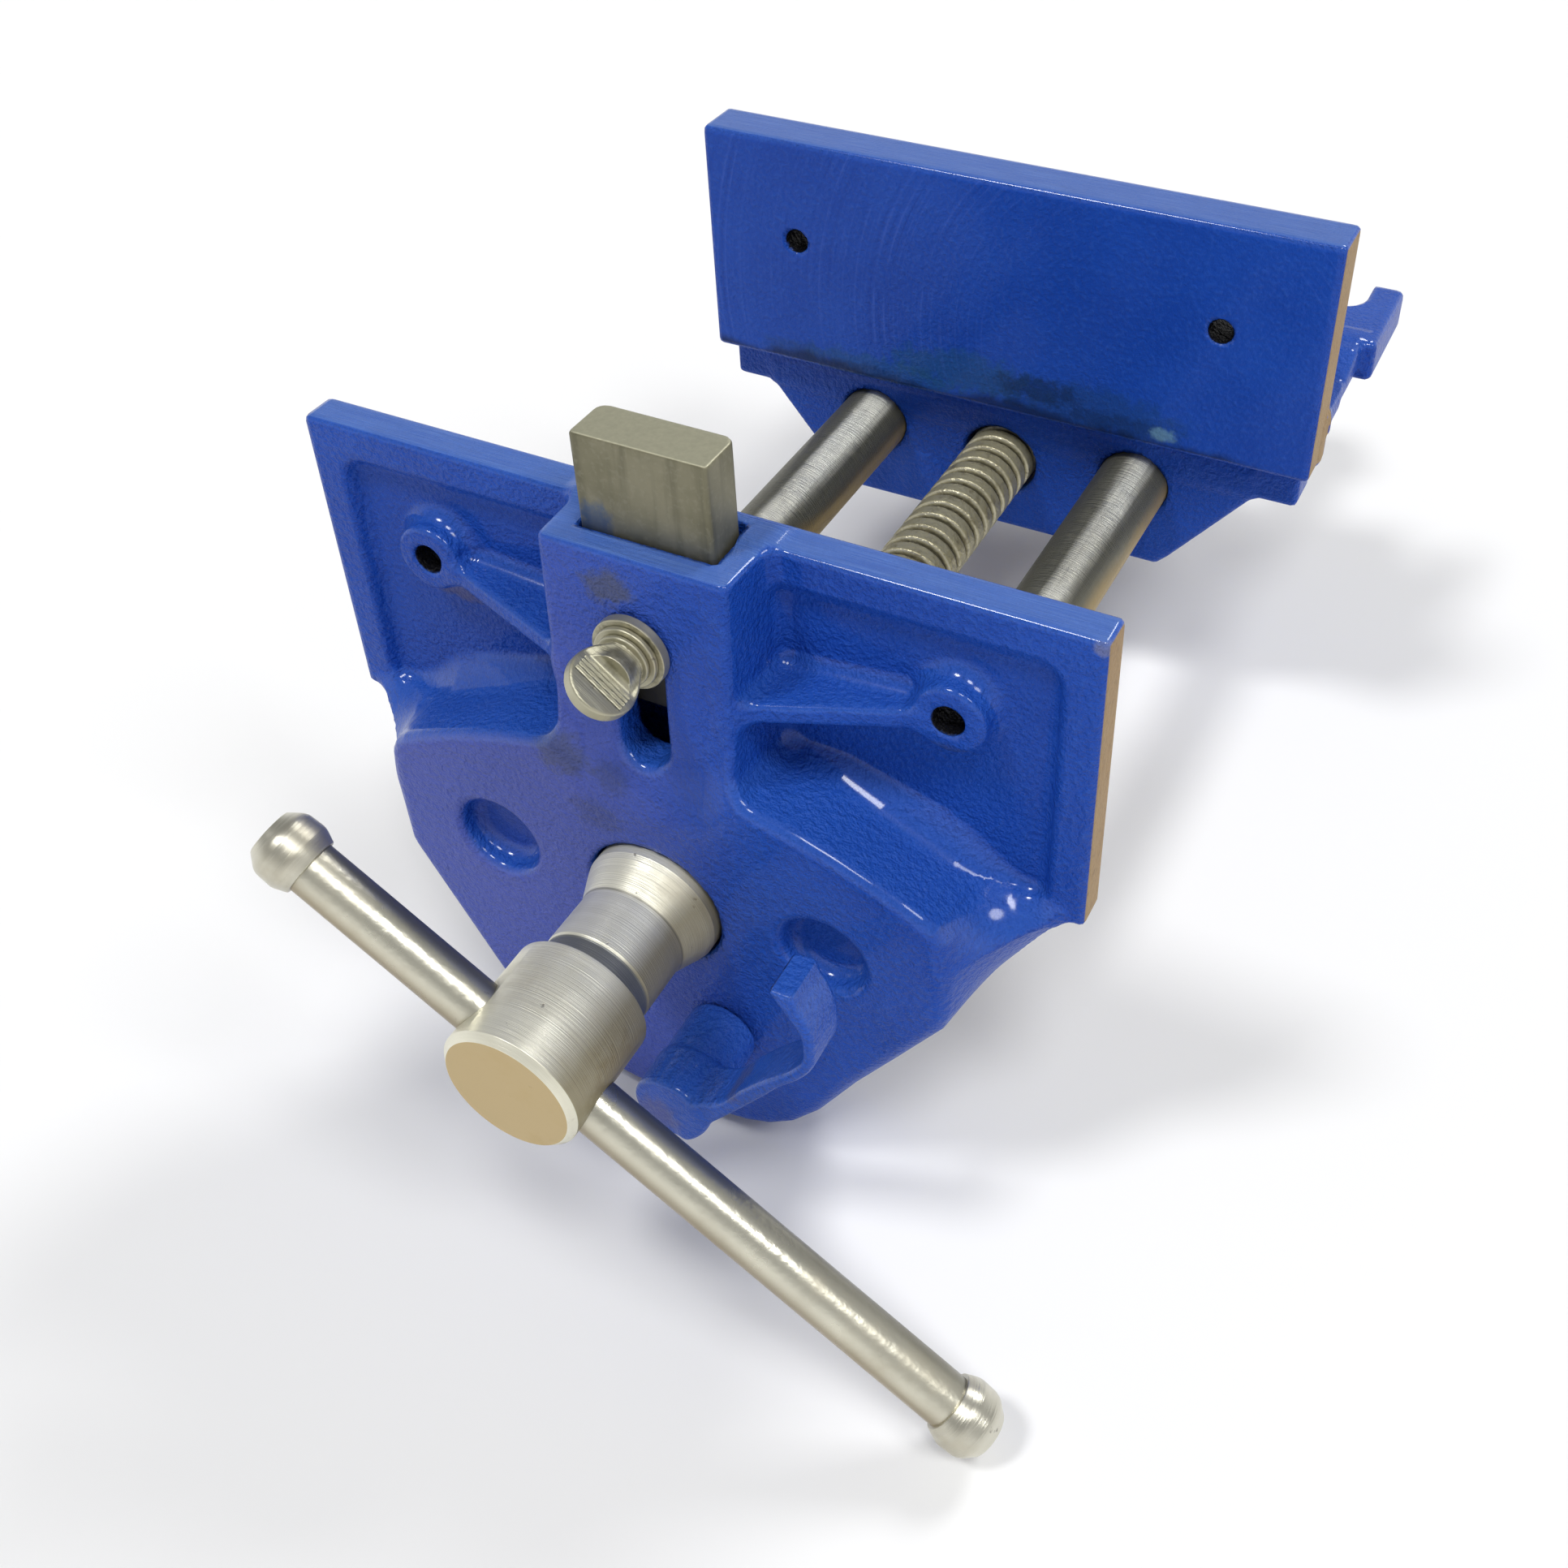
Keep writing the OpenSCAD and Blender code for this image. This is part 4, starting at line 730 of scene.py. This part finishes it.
thumb = cast("thumb_screw_plated", spade, (-8, -34.6, -28), (8, 2.4, -12), 0.34)
dress(thumb, plated, "thumb_screw", "plated_steel", "dog_thumb_screw")

# Release lever: a small casting on the front end of the release rod, a hub and a curved hook
# for one finger, painted with the jaws.

hook_lines = [(25.3, 53.7), (27.6, 50.2), (29.4, 47.5), (31, 45.2), (31.8, 43), (32.1, 39.4),
              (31.7, 35.4), (28.5, 30.2), (21.8, 23.2), (15.6, 15.8), (10.5, 9.2), (4, 6), (0, 0),
              (1.7, -6.9), (4.9, -3.4), (7.6, 0.4), (13, 7.1), (18.3, 13.9), (23.2, 20.3),
              (26, 24.1), (30.6, 29.1), (33.8, 34.3), (34.5, 38.6), (34.1, 44.3), (32.8, 48.3),
              (31.3, 51), (30.2, 53.9)]
lever_y, lever_thick, hub_shift, hub_r = -38.65, 11.3, (-1.8, 0.4), 8.6


def flowing(points, parts=4):
    """Points on cubic curves through all corners of a closed outline but its two ends.

    At each corner the curve runs along the line between that corner's two neighbours.
    """
    p, t = np.array(points, float), np.arange(parts)[:, None] / parts
    a, b, c, d = p[:-3], p[1:-2], p[2:-1], p[3:]
    spans = [b + t * (c - a + t * (2 * a - 5 * b + 4 * c - d + t * (3 * b - 3 * c + d - a))) / 2
             for a, b, c, d in zip(a, b, c, d)]
    return [points[0]] + [tuple(q) for q in np.concatenate(spans)] + points[-2:]


def lever_field(x, y, z):
    """A hub in two steps, off the rod's axis, and a hook of one outline carried along the rod."""
    u, w, flat = x - rod_x, z - rod_z, np.abs(y - lever_y) - lever_thick / 2
    hook = both(outline(u, w, hook_curve) - 0.1, flat, 1.1)
    reach = np.hypot(u - hub_shift[0], w - hub_shift[1])
    hub = both(reach - hub_r, flat, 1.3)
    back = both(reach - hub_r + 0.4, np.abs(y + 28.5) - 8.2, 0.8)
    return join(join(hub, hook, 2.5), back, 0.8)


hook_curve = flowing(hook_lines)
lever_enamel = enamel("lever_enamel", marks=[
    # Painted light: this mark lightens the whole lever.
    ((25, -40, -105), (70, 40, 70), 0.4, (0.035, 0.12, 0.55)),
    ((29, -38.6, -108), (9, 7, 3.5), 0.7, (0.10, 0.07, 0.06)),
    # Painted light: a purple tint on the hub's front face for warm light from the front.
    ((12, -44, -124), (8, 3, 6), 0.5, (0.12, 0.11, 0.22))])
lever = cast("release_lever_casting", lever_field, (5, -44.4, -132), (51, -20.2, -66), 0.62)
dress(lever, lever_enamel, "lever", "blue_paint", "release_lever")
rod_steel = ground_bar("release_rod_steel", tint=(0.45, 0.45, 0.42))
finish_node(rod_steel, "release_rod")
dark = turned_steel("blackened_steel", (0, 1, 0), tint=(0.14, 0.14, 0.14), stain=0.3)
finish_node(dark, "lever_pin", "spring_collar", "collar_grub_screw", "thrust_collar", "collar_pin",
            "pivot_clip", "release_finger", "rod_spring")

# Rear jaw: the casting that is bolted under the bench. Its plate and apron face the work, and
# behind them are the guides for the bars, the half nut's chamber and the two lugs.

face_y, bar_z, rear_lining = 164.5, -84.5, (61, -29, 3.25)
lug_in, lug_out, lug_back, lug_top, deck_top = 50, 92.7, 248, origin[2], -57.5


def rear_casting(x, y, z):
    """Plate, apron, deck, guides, chamber walls, ears and lugs, then the holes."""
    side = np.abs(x)
    bar, rod = np.hypot(side - bar_x, z - bar_z), np.hypot(x - rod_x, z - rod_z)
    pin, lining = np.hypot(x + 24, z + 100), np.hypot(side - rear_lining[0], z - rear_lining[1])
    plate = block(x, y, z, (-jaw_half, face_y, -67.5), (jaw_half, 179, 0), 1.5)
    strip = block(x, y, z, (-86, 170, -79.7), (86, 182.5, -60), 1.6)
    apron = [(74, -72), (74, -79.7), (52, -106.6), (49, -109.6)]
    apron = outline(x, z, apron + [(-u, v) for u, v in reversed(apron)])
    apron = both(apron - 0.3, np.abs(y - 176.25) - 6.25, 1.6)
    deck = block(x, y, z, (-60, 176, deck_top - 8), (60, lug_back, deck_top), 1.6)
    lug = block(side, y, z, (lug_in, 212.5, lug_top - 12), (lug_out, lug_back, lug_top), 2)
    rise = lug_top - deck_top
    arm_top = deck_top + np.clip(rise * (y - 186) / 22, 3.8, rise)
    arm = both(side - jaw_half, z - arm_top, 2)
    arm = np.maximum(arm, np.maximum(lug_in - side, deck_top - z))
    arm = np.maximum(arm, np.maximum(178 - y, y - 218))
    web = np.maximum(both(side - 88, y - 182 - 0.9 * np.maximum(z + 66, 0), 1.5),
                     np.maximum(lug_in - side, np.maximum(z + 54, np.maximum(-69 - z, 176 - y))))
    guide = both(bar - 14.5, np.abs(y - 206) - 30, 1.2)
    stem = block(side, y, z, (33, 176, -84), (47.5, 236, -60), 1)
    chamber = block(x, y, z, (-40, 222, -107), (40, 228, -60), 1)
    wall = block(x, y, z, (24, 176, -107), (30, 226, -60), 1)
    pivot = np.maximum(pin - 7, np.abs(y - 180) - 9.7)
    ear = outline(x, z, [(rod_x, -130), (30, rod_z), (30, -100), (24, -100), (24, -107),
                         (rod_x, -115)])
    ears = np.maximum(np.minimum(rod - 8, ear),
                      np.minimum(np.abs(y - 198.5) - 2.5, np.abs(y - 217.5) - 2.5))
    body = join(plate, strip, 1.5)
    body = join(body, apron, 2)
    body = join(join(body, join(arm, lug, 2), 3), join(deck, web, 2), 3)
    body = join(body, join(guide, stem, 3), 3)
    body = join(join(body, join(chamber, wall, 2), 2), np.minimum(pivot, ears), 1.5)
    body = cut(body, bar - 10.06, 0.9)
    body = cut(body, np.maximum(np.hypot(x, z - screw_z) - 11, 168 - y), 0.9)
    body = cut(body, np.maximum(lining - rear_lining[2], y - 190), 0.8)
    body = cut(body, np.maximum(pin - 3.02, 176.25 - y), 0.3)
    body = cut(body, rod - 4.6, 0.4)
    slot = np.hypot(side - 77, np.minimum(y - origin[1], 0)) - 6.8
    return cut(body, np.maximum(slot, -z - 70), 1)


def clamping_face(f):
    """1 on the rear jaw's flat front face, 0 elsewhere."""
    return (0 - f.ny).over(0.85, 0.97) * (1 - f.y.over(-0.0738, -0.0732))


def rear_enamel_finish():
    """The same enamel, thinner on the clamping face, where the arcs of a face mill show. A dark
    wavering line lies along the face's foot and teal rubs above it."""
    teal, dirt = (0.015, 0.085, 0.17), (0.006, 0.025, 0.09)
    f = enamel("rear_enamel", True, clamping_face, rear_lining, marks=[
        ((-36.7, face_y, -64), (30, 4, 6), 0.45, teal),
        ((-10, face_y, -58), (30, 4, 8), 0.5, teal),
        ((25.6, face_y, -60), (36, 4, 9), 0.5, (0.012, 0.055, 0.17)),
        ((12, face_y, -58), (16, 4, 5), 0.6, dirt),
        ((36, face_y, -63), (20, 4, 4), 0.5, dirt),
        ((-40, face_y, -65), (18, 4, 3), 0.5, dirt),
        ((48.9, face_y, -63), (4.5, 4, 2.5), 0.8, (0.12, 0.26, 0.40)),
        ((-62, face_y, -63), (14, 4, 4), 0.4, (0.012, 0.05, 0.13))])
    across, up = f.x - 0.045, f.z - 0.005
    away = (across * across + up * up).root()
    along_radius = f.node("CombineXYZ", {}, {0: away})
    ring = f.node("TexNoise", {}, {"Vector": along_radius, "Scale": 700, "Detail": 3})
    worn = f.noise(60, 3, shift=(1, 1, 9)).over(0.3, 0.65)
    face, arcs = clamping_face(f), away.over(0.035, 0.06) * worn
    skin, blue = f.now("Normal"), f.now("Base Color")
    blue = f.mix(ring.over(0.5, 0.7) * face * arcs * 0.5, blue, (0.055, 0.13, 0.55))
    blue = f.mix(ring.over(0.48, 0.3) * face * arcs * 0.4, blue, (0.004, 0.03, 0.25))
    foot = f.z + (f.noise(60, 4, stretch=(1, 1, 0.1), shift=(4, 4, 4)) - 0.5) * 0.011
    line = (1 - foot.over(-0.0165, -0.0135)) * face * (1 - (f.x - 0.062).over(0, 0.02))
    blue = f.mix(line * 0.8, blue, (0.003, 0.014, 0.065))
    return f.set(Base_Color=blue, Normal=f.bump(ring * face * arcs, 0.00022, 0.6, skin))


rear_jaw = cast("rear_jaw_casting", rear_casting,
                (-lug_out, face_y, -130), (lug_out, lug_back, 0), 1.2)
dress(rear_jaw, rear_enamel_finish(), "rear", "blue_paint", "rear_jaw")

# Half nut, its pivot pin and the screw's bush: the nut and the bush are cast bronze gone brown,
# the pin is ground steel, and all three are greasy.


def greasy_bronze():
    """Cast bronze, brown in clouds, with a very fine grain."""
    f = Finish("greasy_bronze")
    cloud, fine = f.noise(90, 4), f.noise(1200, 2, shift=(1, 2, 3))
    metal = f.mix(cloud.over(0.35, 0.7), (0.48, 0.31, 0.14), (0.2, 0.14, 0.07))
    return f.set(Base_Color=metal, Metallic=0.9, Roughness=0.36 + 0.2 * cloud,
                 Normal=f.bump(fine, 0.0001, 0.4))


bronze = greasy_bronze()
finish_node(bronze, "half_nut", "screw_bush")
finish_node(rod_steel, "nut_pivot_pin")

# Yoke behind the rear jaw: a painted casting that the bars' nuts hold, with plated washers,
# nuts and a split pin.


def yoke_field(x, y, z):
    """Two eyes, the bridge between them and the tongue down to the release rod."""
    side, flat = np.abs(x), np.abs(y - yoke_y - yoke_thick / 2) - yoke_thick / 2
    bar = np.hypot(side - bar_x, z - bar_z)
    bridge = np.maximum(side - bar_x, np.abs(z - bar_z) - eye_r)
    tongue = np.hypot(x - rod_x, np.maximum(np.maximum(z + 88, rod_z - z), 0)) - 8
    body = both(join(np.minimum(bar - eye_r, bridge), tongue, 6), flat, 1.5)
    for u, v, r in ((0, screw_z, 9.5), (rod_x, rod_z, 4.06)):
        body = cut(body, np.hypot(x - u, z - v) - r, 0.4)
    return cut(body, bar - 6.06, 0.4)


eye_r, yoke_thick = 16, 10
yoke_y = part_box("tie_plate")[0][1] * 1000 + origin[1]
yoke = cast("yoke_casting", yoke_field, (-57, yoke_y - 0.5, -131), (57, yoke_y + 10.5, -68), 0.9)
dress(yoke, enamel("yoke_enamel"), "front", "blue_paint", "tie_plate")
nut_plate = turned_steel("plated_nut_steel", (0, 1, 0), tint=(0.62, 0.61, 0.55), stain=0.5)
finish_node(nut_plate, "tie_nuts", "tie_washers", "end_washer", "split_pin")

# Stage: a pale floor under the vise, and a room that is white to the camera and lights the vise
# more from round the floor than from overhead. Four soft lamps are far off, and the camera
# stands where the photograph's did.

foot_z = cad_box[0][2]
bpy.ops.mesh.primitive_plane_add(size=60, location=(0, 0, foot_z - 0.002))
floor = bpy.context.object
floor.name = "floor"
floor.data.materials.append(Finish("floor_white").set(Base_Color=(0.86, 0.86, 0.86, 1),
                                                      Roughness=0.9).material)

world = bpy.data.worlds.new("studio")
bpy.context.scene.world = world
world.use_nodes = True
room = world.node_tree
toward = room.nodes.new("ShaderNodeTexCoord")
parts = room.nodes.new("ShaderNodeSeparateXYZ")
room.links.new(toward.outputs["Generated"], parts.inputs[0])
fade = room.nodes.new("ShaderNodeMapRange")
for key, value in {"From Min": 0.05, "From Max": 0.5, "To Min": 0.85, "To Max": 0.2}.items():
    fade.inputs[key].default_value = value
room.links.new(parts.outputs["Z"], fade.inputs["Value"])
seen = room.nodes.new("ShaderNodeLightPath")
shown = room.nodes.new("ShaderNodeMix")
shown.inputs[3].default_value = 0.97
room.links.new(seen.outputs["Is Camera Ray"], shown.inputs[0])
room.links.new(fade.outputs[0], shown.inputs[2])
room.links.new(shown.outputs[0], room.nodes["Background"].inputs["Strength"])
room.nodes["Background"].inputs["Color"].default_value = (1, 1, 1, 1)


def lamp(name, comes_from, spread, strength):
    """A far soft lamp, as wide as spread degrees in the sky."""
    light = bpy.data.lights.new(name, "SUN")
    light.angle, light.energy = math.radians(spread), strength
    obj = bpy.data.objects.new(name, light)
    bpy.context.collection.objects.link(obj)
    x, y, z = comes_from
    obj.rotation_euler = (math.atan2(math.hypot(x, y), z), 0, math.atan2(y, x) + math.pi / 2)


lamp("key", (-0.30, -0.35, 0.89), 11, 1.1)
lamp("front", (0.25, -0.3, 0.92), 13, 0.75)
lamp("back", (0.2, 0.68, 0.7), 16, 1.0)
lamp("right", (0.61, -0.14, 0.77), 16, 0.7)

# The camera's turn is an axis times an angle. The cross product with the axis makes it a matrix.
eye = (0.156704, -0.465391, 0.241875)
spin = np.array([0.67144377, 0.44395887, 0.14192638])
angle = np.linalg.norm(spin)
a, b, c = spin / angle
cross = np.array([[0, -c, b], [c, 0, -a], [-b, a, 0]])
turn = np.eye(3) + math.sin(angle) * cross + (1 - math.cos(angle)) * cross @ cross
right, down, ahead = turn @ np.array([[1, 0, 0], [0, 0, -1], [0, 1, 0]])
camera_data = bpy.data.cameras.new("photo_camera")
camera_data.lens, camera_data.sensor_width = 40.143, 36
camera_data.shift_x, camera_data.shift_y = -0.0525, -0.0952
camera_data.clip_start = 0.01
camera = bpy.data.objects.new("photo_camera", camera_data)
bpy.context.collection.objects.link(camera)
pose = np.eye(4)
pose[:3, 0], pose[:3, 1], pose[:3, 2], pose[:3, 3] = right, -down, -ahead, eye
camera.matrix_world = pose.T.tolist()
bpy.context.scene.camera = camera
bpy.context.scene.view_settings.view_transform = "Standard"
